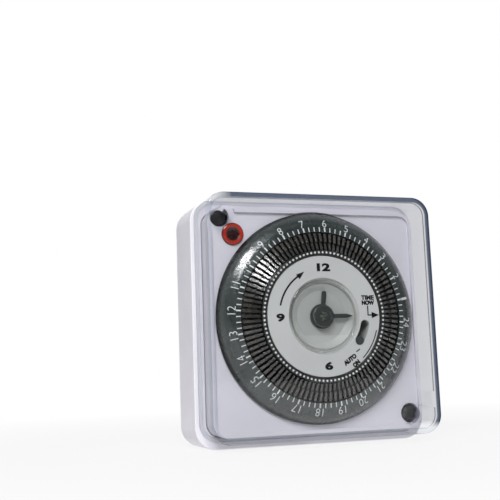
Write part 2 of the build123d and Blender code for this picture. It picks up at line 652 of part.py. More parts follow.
def finger():
    """One tappet along +X: a blade that rises inwards in two slopes, on a leg."""
    low_d = TAPPET_TOP_D + TAPPET_DEEP
    slope = tan(radians(TAPPET_SLOPE))
    step_d = TAPPET_TOP_D - (TAPPET_OUT_R - TAPPET_STEP_R) * slope
    start_r = TAPPET_STEP_R - TAPPET_STEP / 2
    past = 1.0
    in_d = step_d + TAPPET_STEP - (start_r - TAPPET_IN_R + past) * slope
    path = [(TAPPET_OUT_R + past, TAPPET_TOP_D + past * slope), (TAPPET_STEP_R, step_d),
            (start_r, step_d + TAPPET_STEP), (TAPPET_IN_R - past, in_d),
            (TAPPET_IN_R - past, low_d), (TAPPET_OUT_R + past, low_d)]
    side = make_face(Polyline(*[(r, FRONT_Y + d, AXIS_Z) for r, d in path], close=True))
    body = slab(wedge(TAPPET_IN_R, TAPPET_OUT_R, 0.0), min(step_d, in_d), low_d)
    body = body & extrude(side, amount=2 * past, both=True)
    return one(body + slab(leg_plan(0.0), TAPPET_TOP_D + TAPPET_DEEP / 2, CARRIER_BACK_D - 0.2))


FINGER = finger()
keep("dial_ring", dial_ring())
keep("tappet_carrier", carrier())
keep("dial_dot_ring", one(ring(DOT_OUT_R, DOT_IN_R, DOT_TOP_D, CARRIER_TOP_D)))
for first in range(0, TAPPETS, TAPPET_GROUP):
    start = 24 * first // TAPPETS
    end = 24 * (first + TAPPET_GROUP) // TAPPETS
    chosen = TAPPET_ANGLES[first:first + TAPPET_GROUP]
    keep(f"tappets_{start:02d}_to_{end:02d}_h", group([turn(FINGER, a) for a in chosen]))
keep("dial_gear", one(gear(DIAL_TEETH, DAY_MODULE, 0.6, DAY_ANGLE, CARRIER_BACK_D,
                           DIAL_GEAR_BACK_D, CARRIER_BORE_R)))


# ------------------------------------------------------------------ gear train
def gap_towards(angle, teeth):
    """Direction of a tooth when a gap faces back along angle to the dial axis."""
    return angle + 180 + 180 / teeth


def day_arbor():
    """Arbor that takes the day wheel's motion through the plate to the dial."""
    front_d = CARRIER_BACK_D + GEAR_GAP
    wheel_back_d = DAY_WHEEL_D + WHEEL_THICK
    body = gear(DAY_PINION_TEETH, DAY_MODULE, 0.9, gap_towards(DAY_ANGLE, DAY_PINION_TEETH),
                front_d, DIAL_GEAR_BACK_D, 0, DAY_X, DAY_Z)
    body += rod(DAY_SHAFT_R, front_d, ARBOR_END_D, DAY_X, DAY_Z)
    body += gear(DAY_IDLER_TEETH, DAY_MODULE, 0.9, gap_towards(DAY_ANGLE, DAY_IDLER_TEETH),
                 DAY_WHEEL_D, wheel_back_d, 0, DAY_X, DAY_Z)
    return one(body)


def hour_wheel():
    """Pipe with the hour hand's wheel and the larger wheel that drives the day arbor."""
    day_back_d = DAY_WHEEL_D + WHEEL_THICK
    end_d = HOUR_WHEEL_D + WHEEL_THICK
    body = ring(PIPE_R, PIPE_BORE_R, HOUR_HAND_D, end_d)
    body += gear(DAY_WHEEL_TEETH, DAY_MODULE, 0.9, DAY_ANGLE, DAY_WHEEL_D, day_back_d, PIPE_BORE_R)
    body += ring(HOUR_SLEEVE_R, PIPE_BORE_R, day_back_d, HOUR_WHEEL_D)
    body += gear(HOUR_TEETH, HOUR_MODULE, 0.75, MOTION_ANGLE, HOUR_WHEEL_D, end_d, PIPE_BORE_R)
    wheel_r = DAY_MODULE * DAY_WHEEL_TEETH / 2
    for angle in (20, 110, 290):
        x, z = polar(wheel_r - WHEEL_RIM - WHEEL_HOLE_R, angle)
        body -= rod(WHEEL_HOLE_R, DAY_WHEEL_D, day_back_d, x, z)
    return one(body)


def minute_wheel():
    """Wheel and pinion that step the minute arbor down to the hour wheel."""
    bore = STUD_R + RUN_GAP
    body = gear(MINUTE_TEETH, MOTION_MODULE, 0.75, gap_towards(MOTION_ANGLE, MINUTE_TEETH),
                MINUTE_WHEEL_D, MINUTE_WHEEL_D + WHEEL_THICK, bore, MOTION_X, MOTION_Z)
    body += gear(HOUR_PINION_TEETH, HOUR_MODULE, 0.9, gap_towards(MOTION_ANGLE, HOUR_PINION_TEETH),
                 HOUR_WHEEL_D, MINUTE_WHEEL_D, bore, MOTION_X, MOTION_Z)
    return one(body)


def minute_arbor():
    """Steel arbor through the whole movement with the cannon pinion cut on it."""
    body = rod(ARBOR_R, HUB_D + HUB_DIP + 0.1, ARBOR_END_D)
    body += gear(CANNON_TEETH, MOTION_MODULE, 0.9, MOTION_ANGLE, MINUTE_WHEEL_D,
                 MINUTE_WHEEL_D + WHEEL_THICK, 0)
    return one(body)


def drive_wheel():
    back_d = DRIVE_WHEEL_D + DRIVE_THICK
    body = gear(DRIVE_TEETH, DRIVE_MODULE, 0.75, MOTOR_ANGLE, DRIVE_WHEEL_D, back_d, ARBOR_R)
    for angle in (45, 135, 225, 315):
        x, z = polar(5.6, angle)
        body -= rod(1.8, DRIVE_WHEEL_D, back_d, x, z)
    return one(body)


def motor_pinion():
    front_d = DRIVE_WHEEL_D - 0.1
    body = gear(MOTOR_TEETH, DRIVE_MODULE, 0.9, gap_towards(MOTOR_ANGLE, MOTOR_TEETH),
                front_d, REAR_PLATE_D - GEAR_GAP, 0, MOTOR_X, MOTOR_Z)
    return one(body + rod(MOTOR_SHAFT_R, front_d, MOTOR_D + MOTOR_WALL, MOTOR_X, MOTOR_Z))


keep("day_arbor", day_arbor())
keep("hour_wheel", hour_wheel())
keep("minute_wheel", minute_wheel())
keep("minute_arbor", minute_arbor())
keep("drive_wheel", drive_wheel())
keep("motor_pinion", motor_pinion())


# ------------------------------------------------------------------ hands
def hand_blade(long, wide, point):
    """Flat hand drawn along +X: parallel sides and a pointed or blunt end."""
    half = wide / 2
    tip = half * 0.15
    corners = [(0, -half), (long - point, -half), (long, -tip), (long, tip),
               (long - point, half), (0, half)]
    return make_face(Polyline(*corners, close=True))


def minute_hand():
    """Pointed hand on a round boss with a shallow recess in its top."""
    back_d = HOUR_HAND_D - 0.2
    body = round_front(rod(HUB_R, HUB_D, back_d), 0.3)
    body -= rod(HUB_R - HUB_RIM, HUB_D, HUB_D + HUB_DIP)
    blade = Rot(0, 0, MINUTE_TURN) * hand_blade(MINUTE_LONG, HAND_WIDE, 2.2)
    inside = rod(HUB_R - HUB_RIM, MINUTE_HAND_D, MINUTE_HAND_D + HAND_THICK)
    body += slab(blade, MINUTE_HAND_D, MINUTE_HAND_D + HAND_THICK) - inside
    return one(body - rod(ARBOR_R, HUB_D, back_d))


def hour_hand():
    body = rod(HUB_R - 0.6, HOUR_HAND_D, HOUR_HAND_D + HOUR_BOSS)
    blade = Rot(0, 0, HOUR_TURN) * hand_blade(HOUR_LONG, HAND_WIDE * 1.15, 0.4)
    body += slab(blade, HOUR_HAND_D, HOUR_HAND_D + HAND_THICK)
    return one(body - rod(PIPE_R, HOUR_HAND_D, HOUR_HAND_D + HOUR_BOSS))


def hub_cap():
    """Small cap in the boss's recess, with a star-shaped driving socket."""
    body = rod((HUB_R - HUB_RIM) * 0.6, HUB_D, HUB_D + HUB_DIP)
    star = Sketch() + [Rot(0, 0, a) * Rectangle(STAR_LONG, STAR_WIDE) for a in (0, 60, 120)]
    return one(body - slab(star, HUB_D, HUB_D + HUB_DIP * 0.6))


keep("minute_hand", minute_hand())
keep("hour_hand", hour_hand())
keep("hub_cap", hub_cap())


# ------------------------------------------------------------------ override lever
def override_lever():
    """Lever that turns about the dial axis; its knob shows in the face disc's slot."""
    body = ring(LEVER_RING_R, LEVER_BORE_R + RUN_GAP, LEVER_D, LEVER_BACK_D)
    arm_in = (LEVER_BORE_R + LEVER_RING_R) / 2 + RUN_GAP
    arm_out = (TRACK_IN_R + TRACK_OUT_R) / 2
    arm = Pos((arm_in + arm_out) / 2, 0) * Rectangle(arm_out - arm_in, LEVER_ARM)
    body += slab(Rot(0, 0, LEVER_REST) * arm, LEVER_D, LEVER_BACK_D)
    track = curved_slot(arm_out, TRACK_OUT_R - TRACK_IN_R, TRACK_START, TRACK_END)
    body += slab(track, LEVER_D, LEVER_BACK_D)
    knob = Pos(*polar(SLOT_R, LEVER_REST)) * Circle(SLOT_WIDE / 2 - KNOB_GAP)
    return one(body + slab(knob, DISC_D - 0.1, LEVER_BACK_D))


keep("override_lever", override_lever())


# ------------------------------------------------------------------ switch
SWITCH_X0 = FOLLOWER_X - SWITCH_WIDE / 2
SWITCH_X1 = FOLLOWER_X + SWITCH_WIDE / 2
SWITCH_PEGS = [(FOLLOWER_X, side * SWITCH_HIGH * 0.36) for side in (-1, 1)]
BUTTON_D = SWITCH_D - BUTTON_PROUD
BUTTON_END_D = SWITCH_D + SWITCH_WALL + 0.1 + BUTTON_FLANGE
BLADE_D = BUTTON_END_D + LOOSE_GAP
CONTACT_D = REAR_PLATE_D - SWITCH_WALL


def switch_follower():
    """Sliding pin: its nose waits under the dial, its shoulder behind the lever's track."""
    x0 = FOLLOWER_X - FOLLOWER_WIDE / 2
    half_z = FOLLOWER_HIGH / 2
    nose_d = CARRIER_BACK_D + TAPPET_STROKE
    shoulder_d = BUTTON_D - FOLLOWER_SHOULDER
    body = block(x0, x0 + FOLLOWER_WIDE, -half_z, half_z, nose_d, BUTTON_D)
    return one(body + block(x0, TRACK_OUT_R, -half_z, half_z, shoulder_d, BUTTON_D))


def switch_body():
    half = SWITCH_HIGH / 2
    body = block(SWITCH_X0, SWITCH_X1, -half, half, SWITCH_D, REAR_PLATE_D)
    body -= block(SWITCH_X0 + SWITCH_WALL, SWITCH_X1, -half + SWITCH_WALL, half - SWITCH_WALL,
                  SWITCH_D + SWITCH_WALL, REAR_PLATE_D - SWITCH_WALL)
    for x, z in SWITCH_PEGS:
        body += rod(PEG_R, REAR_PLATE_D, MOTOR_D + 0.5, x, z)
    return one(body - rod(BUTTON_R + RUN_GAP, SWITCH_D, SWITCH_D + SWITCH_WALL, FOLLOWER_X, 0))


def switch_button():
    body = rod(BUTTON_R, BUTTON_D, BUTTON_END_D, FOLLOWER_X, 0)
    return one(body + rod(BUTTON_R * 1.6, BUTTON_END_D - BUTTON_FLANGE, BUTTON_END_D, FOLLOWER_X, 0))


def contact_blade():
    """Spring blade with its moving contact, held at its lower end."""
    half = BLADE_WIDE / 2
    root_z = SWITCH_WALL - SWITCH_HIGH / 2
    tip_z = CONTACT_Z + CONTACT_R + 0.3
    back_d = BLADE_D + BLADE_THICK
    body = block(FOLLOWER_X - half, FOLLOWER_X + half, root_z, tip_z, BLADE_D, back_d)
    return one(body + rod(CONTACT_R, back_d, back_d + 0.6, FOLLOWER_X, CONTACT_Z))


def fixed_contact():
    half = BLADE_WIDE / 2
    top_z = SWITCH_HIGH / 2 - SWITCH_WALL
    front_d = CONTACT_D - 0.5
    low_z = CONTACT_Z - CONTACT_R - 0.3
    body = block(FOLLOWER_X - half, FOLLOWER_X + half, low_z, top_z, front_d, CONTACT_D)
    return one(body + rod(CONTACT_R, front_d - 0.6, front_d, FOLLOWER_X, CONTACT_Z))


def switch_tab(x):
    half = TAB_WIDE / 2
    low_z = -SWITCH_HIGH / 2
    return block(x - half, x + half, low_z - TAB_LONG, low_z, BLADE_D, BLADE_D + 0.8)


keep("switch_follower", switch_follower())
keep("switch_body", switch_body())
keep("switch_lid", one(block(SWITCH_X1, SWITCH_X1 + SWITCH_LID, -SWITCH_HIGH / 2, SWITCH_HIGH / 2,
                             SWITCH_D, REAR_PLATE_D)))
keep("switch_button", switch_button())
keep("contact_blade", contact_blade())
keep("fixed_contact", fixed_contact())
keep("switch_tabs", group([switch_tab(FOLLOWER_X + side * TAB_SPREAD) for side in (-1, 1)]))


# ------------------------------------------------------------------ rear plate and motor
LUG_REACH = MOTOR_R + MOTOR_LUG_R - 0.2
LUG_X, LUG_Z = polar(LUG_REACH, -MOTOR_LUG_TURN)
MOTOR_LUGS = [(MOTOR_X + LUG_X, MOTOR_Z + LUG_Z), (MOTOR_X - LUG_X, MOTOR_Z - LUG_Z)]
TERMINAL_PEGS = [(side * (TERMINALS * TERMINAL_PITCH / 2 - TERMINAL_PITCH), TERMINAL_Z)
                 for side in (-1, 1)]


def rear_plate():
    body = slab(RectangleRounded(REAR_PLATE, REAR_PLATE, REAR_PLATE_CORNER), REAR_PLATE_D, MOTOR_D)
    holes = [(ARBOR_R + RUN_GAP, 0, 0), (DAY_SHAFT_R + RUN_GAP, DAY_X, DAY_Z),
             (STUD_R, MOTION_X, MOTION_Z), (MOTOR_SHAFT_R + LOOSE_GAP, MOTOR_X, MOTOR_Z)]
    holes += [(SMALL_SCREW_R + SLIDE_GAP, x, z) for x, z in PILLARS + MOTOR_LUGS]
    holes += [(PEG_R + SEAT_GAP, x, z) for x, z in SWITCH_PEGS + TERMINAL_PEGS]
    for radius, x, z in holes:
        body -= rod(radius, REAR_PLATE_D, MOTOR_D, x, z)
    return one(body)


def motor_can():
    """Pressed steel can with two lugs on the rear plate."""
    back_d = MOTOR_D + MOTOR_DEEP
    wall_d = MOTOR_D + MOTOR_WALL
    body = round_back(rod(MOTOR_R, MOTOR_D, back_d, MOTOR_X, MOTOR_Z), 1.0)
    for x, z in MOTOR_LUGS:
        body += rod(MOTOR_LUG_R, MOTOR_D, wall_d, x, z)
    body -= rod(MOTOR_R - MOTOR_WALL, wall_d, back_d - MOTOR_WALL, MOTOR_X, MOTOR_Z)
    body -= rod(MOTOR_SHAFT_R + RUN_GAP, MOTOR_D, wall_d, MOTOR_X, MOTOR_Z)
    for x, z in MOTOR_LUGS:
        body -= rod(SMALL_SCREW_R + SLIDE_GAP, MOTOR_D, wall_d, x, z)
    return one(body)


def motor_inside(outer, inner, gap):
    """A ring or puck inside the can, clear of both its ends."""
    front_d = MOTOR_D + MOTOR_WALL + gap
    back_d = MOTOR_D + MOTOR_DEEP - MOTOR_WALL
    if inner > 0:
        return one(ring(outer, inner, front_d, back_d, MOTOR_X, MOTOR_Z))
    return one(rod(outer, front_d, back_d, MOTOR_X, MOTOR_Z))


keep("rear_plate", rear_plate())
keep("motion_stud", one(rod(STUD_R, HOUR_WHEEL_D + 0.1, MOTOR_D, MOTION_X, MOTION_Z)))
keep("plate_screws", group([
    small_screw(x, z, MOTOR_D, REAR_PLATE_THICK + PLATE_SCREW_BITE, SMALL_SCREW_R, SMALL_HEAD)
    for x, z in PILLARS]))
keep("motor_can", motor_can())
keep("motor_coil", motor_inside(MOTOR_R - MOTOR_WALL - LOOSE_GAP, COIL_IN_R, 1.5))
keep("motor_gear_pack", motor_inside(PACK_R, 0, 0.2))
keep("motor_screws", group([
    small_screw(x, z, MOTOR_D + MOTOR_WALL, MOTOR_WALL + REAR_PLATE_THICK, SMALL_SCREW_R, SMALL_HEAD)
    for x, z in MOTOR_LUGS]))


# ------------------------------------------------------------------ terminal block
WAYS = [(n - (TERMINALS - 1) / 2) * TERMINAL_PITCH for n in range(TERMINALS)]
TERMINAL_BACK_D = MOTOR_D + TERMINAL_DEEP
CLAMP_D = MOTOR_D + CLAMP_FLOOR
CLAMP_BACK_D = TERMINAL_BACK_D - CLAMP_COVER
WIRE_D = MOTOR_D + WIRE_IN
BLOCK_LOW = TERMINAL_Z - TERMINAL_HIGH / 2
CLAMP_LOW = BLOCK_LOW + TERMINAL_WALL
CLAMP_HIGH = TERMINAL_HIGH - 2 * TERMINAL_WALL
HEAD_R = 2.1                # terminal screw head


def terminal_block():
    half = TERMINALS * TERMINAL_PITCH / 2 + 1
    body = block(-half, half, BLOCK_LOW, BLOCK_LOW + TERMINAL_HIGH, MOTOR_D, TERMINAL_BACK_D)
    for x, z in TERMINAL_PEGS:
        body += rod(PEG_R, REAR_PLATE_D, MOTOR_D, x, z)
    for x in WAYS:
        seat = CLAMP / 2 + SEAT_GAP
        body -= block(x - seat, x + seat, CLAMP_LOW, CLAMP_LOW + CLAMP_HIGH, CLAMP_D, CLAMP_BACK_D)
        body -= rod(HEAD_R + 0.3, CLAMP_BACK_D, TERMINAL_BACK_D, x, TERMINAL_Z)
        mouth_z = AXIS_Z + BLOCK_LOW + TERMINAL_WALL / 2
        body -= Pos(x, FRONT_Y + WIRE_D, mouth_z) * Cylinder(WIRE_R + 0.2, TERMINAL_WALL)
    return one(body)


def terminal_clamp(x):
    """Brass block with the wire way up through it and a tapped hole from the back."""
    half = CLAMP / 2
    body = block(x - half, x + half, CLAMP_LOW, CLAMP_LOW + CLAMP_HIGH, CLAMP_D, CLAMP_BACK_D)
    way_z = AXIS_Z + CLAMP_LOW + CLAMP_HIGH / 2
    body -= Pos(x, FRONT_Y + WIRE_D, way_z) * Cylinder(WIRE_R, CLAMP_HIGH)
    return one(body - rod(SMALL_SCREW_R + THREAD_GAP, WIRE_D, CLAMP_BACK_D, x, TERMINAL_Z))


def terminal_screw(x):
    head_d = CLAMP_BACK_D + 1.6
    body = rod(SMALL_SCREW_R, WIRE_D + WIRE_R, CLAMP_BACK_D, x, TERMINAL_Z)
    body += rod(HEAD_R, CLAMP_BACK_D, head_d, x, TERMINAL_Z)
    slot = Pos(x, TERMINAL_Z) * Rectangle(2.4 * HEAD_R, 0.6)
    return one(body - slab(slot, head_d - 0.7, head_d))


keep("terminal_block", terminal_block())
keep("terminal_clamps", group([terminal_clamp(x) for x in WAYS]))
keep("terminal_screws", group([terminal_screw(x) for x in WAYS]))


# ------------------------------------------------------------------ neon
def neon_lens():
    """Red lens: a raised ring round a shallow dip, with a collar through the plate."""
    tail_d = PLATE_BACK_D + NEON_TAIL
    front_d = PLATE_D - NEON_PROUD
    body = round_front(rod(NEON_R, front_d, PLATE_D, NEON_X, NEON_Z), 0.3)
    body += rod(NEON_R - NEON_STEP - SEAT_GAP, PLATE_D, tail_d, NEON_X, NEON_Z)
    body -= rod(NEON_DIP_R, front_d, front_d + NEON_DIP, NEON_X, NEON_Z)
    return one(body - rod(LAMP_R + SEAT_GAP, PLATE_D + 0.3, tail_d, NEON_X, NEON_Z))


def neon_lamp():
    front_d = PLATE_D + 0.5
    body = rod(LAMP_R, front_d, front_d + LAMP_LONG, NEON_X, NEON_Z)
    return one(round_front(body, LAMP_R * 0.7))


keep("neon_lens", neon_lens())
keep("neon_lamp", neon_lamp())


# ------------------------------------------------------------------ write
os.makedirs("parts", exist_ok=True)
for name, shape in PARTS.items():
    shape.label = name
    export_step(shape, f"parts/{name}.step")
print(len(PARTS), "nodes")
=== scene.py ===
"""Looks of a wall-mounted 24-hour segment timer switch with a clear cover.

Sizes are in millimetres and are turned into metres where a mesh is made.
Depths are measured back from the front face of the clear cover.
Places on the face are measured from the dial axis: right, then up.
Angles are in degrees, anticlockwise from the right seen from the front.
"""

import json
from math import atan2, cos, degrees, hypot, pi, radians, sin, sqrt

import bpy
from mathutils import Matrix, Vector

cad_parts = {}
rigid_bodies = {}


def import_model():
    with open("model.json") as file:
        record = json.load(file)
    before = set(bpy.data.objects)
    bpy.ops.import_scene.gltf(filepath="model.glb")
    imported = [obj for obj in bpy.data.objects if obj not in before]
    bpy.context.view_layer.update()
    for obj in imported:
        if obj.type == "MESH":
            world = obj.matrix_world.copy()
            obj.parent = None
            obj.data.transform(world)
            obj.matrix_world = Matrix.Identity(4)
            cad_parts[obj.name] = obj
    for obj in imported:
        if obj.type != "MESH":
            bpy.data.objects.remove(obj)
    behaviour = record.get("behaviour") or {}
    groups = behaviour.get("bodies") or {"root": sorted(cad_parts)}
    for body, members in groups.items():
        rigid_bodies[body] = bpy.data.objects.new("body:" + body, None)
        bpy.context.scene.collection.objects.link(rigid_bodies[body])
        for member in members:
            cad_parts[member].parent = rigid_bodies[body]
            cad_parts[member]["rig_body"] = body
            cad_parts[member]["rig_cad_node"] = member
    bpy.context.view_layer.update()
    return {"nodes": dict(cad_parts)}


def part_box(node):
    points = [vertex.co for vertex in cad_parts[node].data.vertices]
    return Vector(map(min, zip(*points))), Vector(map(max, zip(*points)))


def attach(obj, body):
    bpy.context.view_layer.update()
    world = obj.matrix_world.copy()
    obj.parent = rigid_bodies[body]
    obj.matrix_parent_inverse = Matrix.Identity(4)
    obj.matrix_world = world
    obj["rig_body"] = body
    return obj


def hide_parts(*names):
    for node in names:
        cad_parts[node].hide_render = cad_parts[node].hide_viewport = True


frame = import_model()

# ------------------------------------------------------------------ rear housing
# Open box of white ABS that is screwed to the wall, with posts for the cover screws.
# Its outside is spark-eroded to a fine matt grain, which scatters the light a little unevenly.
MM = 0.001
WELD = 2e-6  # corners nearer than this, in metres, are one corner
CASE_LIGHT, CASE_DARK = (0.80, 0.785, 0.845), (0.745, 0.73, 0.79)
CASE_GRAIN, CASE_GRAIN_DEPTH, CASE_ROUGH = 0.22, 0.03, 0.46
CLOUD_SCALE, GLOSS_SCALE = 45, 160


class Wire:
    """An output of a node; arithmetic on it adds Math nodes."""

    def __init__(self, wiring, socket):
        self.wiring, self.socket = wiring, socket

    def __add__(self, other):
        return self.wiring.math("ADD", self, other)

    def __sub__(self, other):
        return self.wiring.math("SUBTRACT", self, other)

    def __rsub__(self, other):
        return self.wiring.math("SUBTRACT", other, self)

    def __mul__(self, other):
        return self.wiring.math("MULTIPLY", self, other)

    def __pow__(self, power):
        return self.wiring.math("POWER", self, power)

    def __lt__(self, other):
        return self.wiring.math("LESS_THAN", self, other)

    __radd__, __rmul__ = __add__, __mul__


class Wiring:
    """The nodes of a finish or of the surround, added one by one."""

    def __init__(self, tree):
        self.tree = tree

    def add(self, kind, settings=None, inputs=(), output=0):
        """One node: its settings first, then the values or links of its sockets."""
        node = self.tree.nodes.new(kind)
        for key, value in (settings or {}).items():
            setattr(node, key, value)
        pairs = inputs.items() if isinstance(inputs, dict) else enumerate(inputs)
        for key, value in pairs:
            self.put(node.inputs[key], value)
        return Wire(self, node.outputs[output])

    def put(self, socket, value):
        """Link a wire to a socket, or set the socket to a value."""
        if isinstance(value, Wire):
            self.tree.links.new(value.socket, socket)
        elif socket.type == "RGBA" and len(value) == 3:
            socket.default_value = (*value, 1)
        else:
            socket.default_value = value

    def math(self, operation, *values):
        return self.add("ShaderNodeMath", {"operation": operation}, values)

    def vector_math(self, operation, *values, output=0):
        return self.add("ShaderNodeVectorMath", {"operation": operation}, values, output)

    def between(self, value, low, high, to_low=0.0, to_high=1.0):
        """A value's place between low and high, from to_low to to_high and no further."""
        return self.add("ShaderNodeMapRange", {}, {
            "Value": value, "From Min": low, "From Max": high, "To Min": to_low, "To Max": to_high})

    def mixed(self, factor, first, second):
        """Two values mixed by a factor."""
        return self.add("ShaderNodeMix", {"data_type": "FLOAT"}, {0: factor, 2: first, 3: second})

    def colours(self, factor, first, second):
        """Two colours mixed by a factor."""
        return self.add("ShaderNodeMix", {"data_type": "RGBA"},
                        {0: factor, 6: first, 7: second}, output=2)

    def siblings(self, wire, *names):
        """Outputs of those names on the node that a wire comes from."""
        return [Wire(self, wire.socket.node.outputs[name]) for name in names]

    def parts(self, vector):
        """X, Y and Z of a vector."""
        return self.siblings(self.add("ShaderNodeSeparateXYZ", {}, [vector]), "X", "Y", "Z")

    def rays(self, *names):
        """What Light Path says of the ray that asks."""
        return self.siblings(self.add("ShaderNodeLightPath"), *names)


class Finish(Wiring):
    """A material, built up node by node round one Principled shader."""

    def __init__(self, name, **sockets):
        self.material = bpy.data.materials.new(name)
        self.material.use_nodes = True
        super().__init__(self.material.node_tree)
        self.shader = next(n for n in self.tree.nodes if n.type == "BSDF_PRINCIPLED")
        self.output = next(n for n in self.tree.nodes if n.type == "OUTPUT_MATERIAL")
        self.place = self.add("ShaderNodeTexCoord", output="Object")
        self.set(**sockets)

    def set(self, **sockets):
        """Base_Color=..., Roughness=... on the shader's own sockets."""
        for name, value in sockets.items():
            self.put(self.shader.inputs[name.replace("_", " ")], value)
        return self

    def noise(self, scale, detail, place=None):
        return self.add("ShaderNodeTexNoise", {}, {
            "Vector": place or self.place, "Scale": scale, "Detail": detail})

    def stretched(self, x, y, z):
        """Places on the surface, drawn together along each axis by a factor."""
        return self.add("ShaderNodeMapping", {}, {"Vector": self.place, "Scale": (x, y, z)})

    def bumps(self, height, strength, depth):
        """Normal of a surface whose relief is depth millimetres deep."""
        return self.set(Normal=self.add("ShaderNodeBump", {}, {
            "Height": height, "Strength": strength, "Distance": depth * MM}, output="Normal"))


def grained(name, light, dark, grain, depth, rough, spread=0.05, **sockets):
    """Moulded plastic: cloudy colour, a grain of that size and depth, and uneven gloss."""
    finish = Finish(name, **sockets)
    cloud = finish.between(finish.noise(CLOUD_SCALE, 3), 0.35, 0.65)
    gloss = finish.noise(GLOSS_SCALE, 4)
    finish.set(Base_Color=finish.colours(cloud, dark, light),
               Roughness=finish.between(gloss, 0.3, 0.7, rough - spread, rough + spread))
    return finish.bumps(finish.noise(1 / (grain * MM), 3), 0.35, depth)


def only(piece):
    """Leave one piece selected and active, in object mode."""
    if bpy.context.object and bpy.context.object.mode != "OBJECT":
        bpy.ops.object.mode_set(mode="OBJECT")
    bpy.ops.object.select_all(action="DESELECT")
    piece.select_set(True)
    bpy.context.view_layer.objects.active = piece


def rounded(piece, edge=0.0, segments=2, angle=40.0):
    """Break every edge sharper than an angle by a small radius, and shade the rest smooth."""
    only(piece)
    bpy.ops.object.shade_smooth_by_angle(angle=radians(40.0))
    if edge:
        bevel = piece.modifiers.new("edges", "BEVEL")
        bevel.width, bevel.segments = edge * MM, segments
        bevel.limit_method, bevel.angle_limit = "ANGLE", radians(angle)
        bevel.use_clamp_overlap, bevel.miter_outer = True, "MITER_ARC"
    flat = piece.modifiers.new("flats", "WEIGHTED_NORMAL")
    flat.mode, flat.keep_sharp, flat.weight = "FACE_AREA", True, 80
    for name in [m.name for m in piece.modifiers]:
        bpy.ops.object.modifier_apply(modifier=name)
    return piece


def settle(piece, name, finish, body, nodes=()):
    """Name a finished piece, give it its material and hang it on its body."""
    piece.name = piece.data.name = name
    piece.data.materials.clear()
    piece.data.materials.append(finish.material)
    for polygon in piece.data.polygons:
        polygon.material_index = 0
    if nodes:
        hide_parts(*nodes)
    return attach(piece, body)


def from_node(node, edge=0.0, angle=40.0, segments=2):
    """A CAD node's own shape as one joined skin, with its edges broken."""
    source = frame["nodes"][node]
    piece = source.copy()
    piece.data = source.data.copy()
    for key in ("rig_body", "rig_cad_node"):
        del piece[key]
    piece.parent = None
    piece.matrix_world = Matrix.Identity(4)
    bpy.context.scene.collection.objects.link(piece)
    only(piece)
    bpy.ops.object.mode_set(mode="EDIT")
    bpy.ops.mesh.select_all(action="SELECT")
    bpy.ops.mesh.remove_doubles(threshold=WELD)
    bpy.ops.mesh.dissolve_limited(angle_limit=radians(0.4))
    bpy.ops.object.mode_set(mode="OBJECT")
    return rounded(piece, edge, segments, angle)


case_white = grained("case_white", CASE_LIGHT, CASE_DARK, CASE_GRAIN, CASE_GRAIN_DEPTH, CASE_ROUGH)
settle(from_node("rear_case"), "case_shell", case_white, "housing", ["rear_case"])


# ------------------------------------------------------------------ metal fixings
# Zinc-plated steel screws hold the frame to the case; brass inserts are pressed into
# the case's posts for the cover screws.
def metal(name, shade, rough, grain=900, stretch=(1, 1, 1), **sockets):
    """Bare or plated metal: uneven gloss and fine lines along the axis of least stretch."""
    finish = Finish(name, Metallic=1.0, **sockets)
    lines = finish.noise(grain, 3, finish.stretched(*stretch))
    dull = finish.between(finish.noise(140, 3), 0.3, 0.7, 0.86, 1.0)
    half_shade = tuple(0.5 * c for c in shade)
    finish.set(Base_Color=finish.colours(dull, half_shade, shade),
               Roughness=finish.between(lines, 0.3, 0.7, rough - 0.06, rough + 0.08))
    return finish.bumps(lines, 0.25, 0.004)


def finish_nodes(finish, *nodes):
    """Give CAD nodes whose shape is right their finished material."""
    for node in nodes:
        for slot in frame["nodes"][node].material_slots:
            slot.material = finish.material


screw_steel = metal("screw_steel", (0.62, 0.62, 0.60), rough=0.32)
brass_parts = metal("brass_parts", (0.72, 0.53, 0.24), rough=0.30)
finish_nodes(screw_steel, "frame_screws", "pedestal_screws", "plate_screws", "motor_screws",
             "terminal_screws")
finish_nodes(brass_parts, "cover_screw_inserts", "terminal_clamps")

# ------------------------------------------------------------------ movement and terminals
# Gears are natural acetal, arbors ground steel, the rear plate and the motor can pressed
# steel; the microswitch is black phenolic with a grey lid, the terminal block white nylon.
gear_acetal = grained("gear_acetal", (0.80, 0.78, 0.70), (0.74, 0.71, 0.62),
                      grain=0.4, depth=0.008, rough=0.38,
                      Subsurface_Weight=0.15, Subsurface_Radius=(0.002, 0.002, 0.0015))
arbor_steel = metal("arbor_steel", (0.66, 0.66, 0.65), rough=0.2, grain=2600,
                    stretch=(1, 0.06, 1))
plate_steel = metal("plate_steel", (0.60, 0.61, 0.60), rough=0.36, grain=1800,
                    stretch=(0.05, 1, 1))
can_steel = metal("can_steel", (0.64, 0.64, 0.62), rough=0.30, grain=1500,
                  stretch=(1, 1, 0.06))
tab_tinned = metal("tab_tinned", (0.70, 0.70, 0.68), rough=0.28)
switch_plastic = grained("switch_plastic", (0.020, 0.019, 0.018), (0.013, 0.012, 0.012),
                         grain=0.3, depth=0.012, rough=0.42)
switch_lid_grey = grained("switch_lid_grey", (0.22, 0.23, 0.24), (0.18, 0.19, 0.20),
                          grain=0.3, depth=0.012, rough=0.45)
block_white = grained("block_white", (0.78, 0.77, 0.72), (0.73, 0.71, 0.66),
                      grain=0.35, depth=0.015, rough=0.40)

coil_wrap = Finish("coil_wrap", Roughness=0.42)
turns = coil_wrap.add("ShaderNodeTexWave", {"wave_type": "BANDS", "bands_direction": "Y"}, {
    "Vector": coil_wrap.place, "Scale": 420.0, "Distortion": 0.6, "Detail": 1.0})
coil_wrap.set(Base_Color=coil_wrap.colours(turns, (0.38, 0.20, 0.03), (0.62, 0.38, 0.08)))
coil_wrap.bumps(turns, 0.4, 0.05)

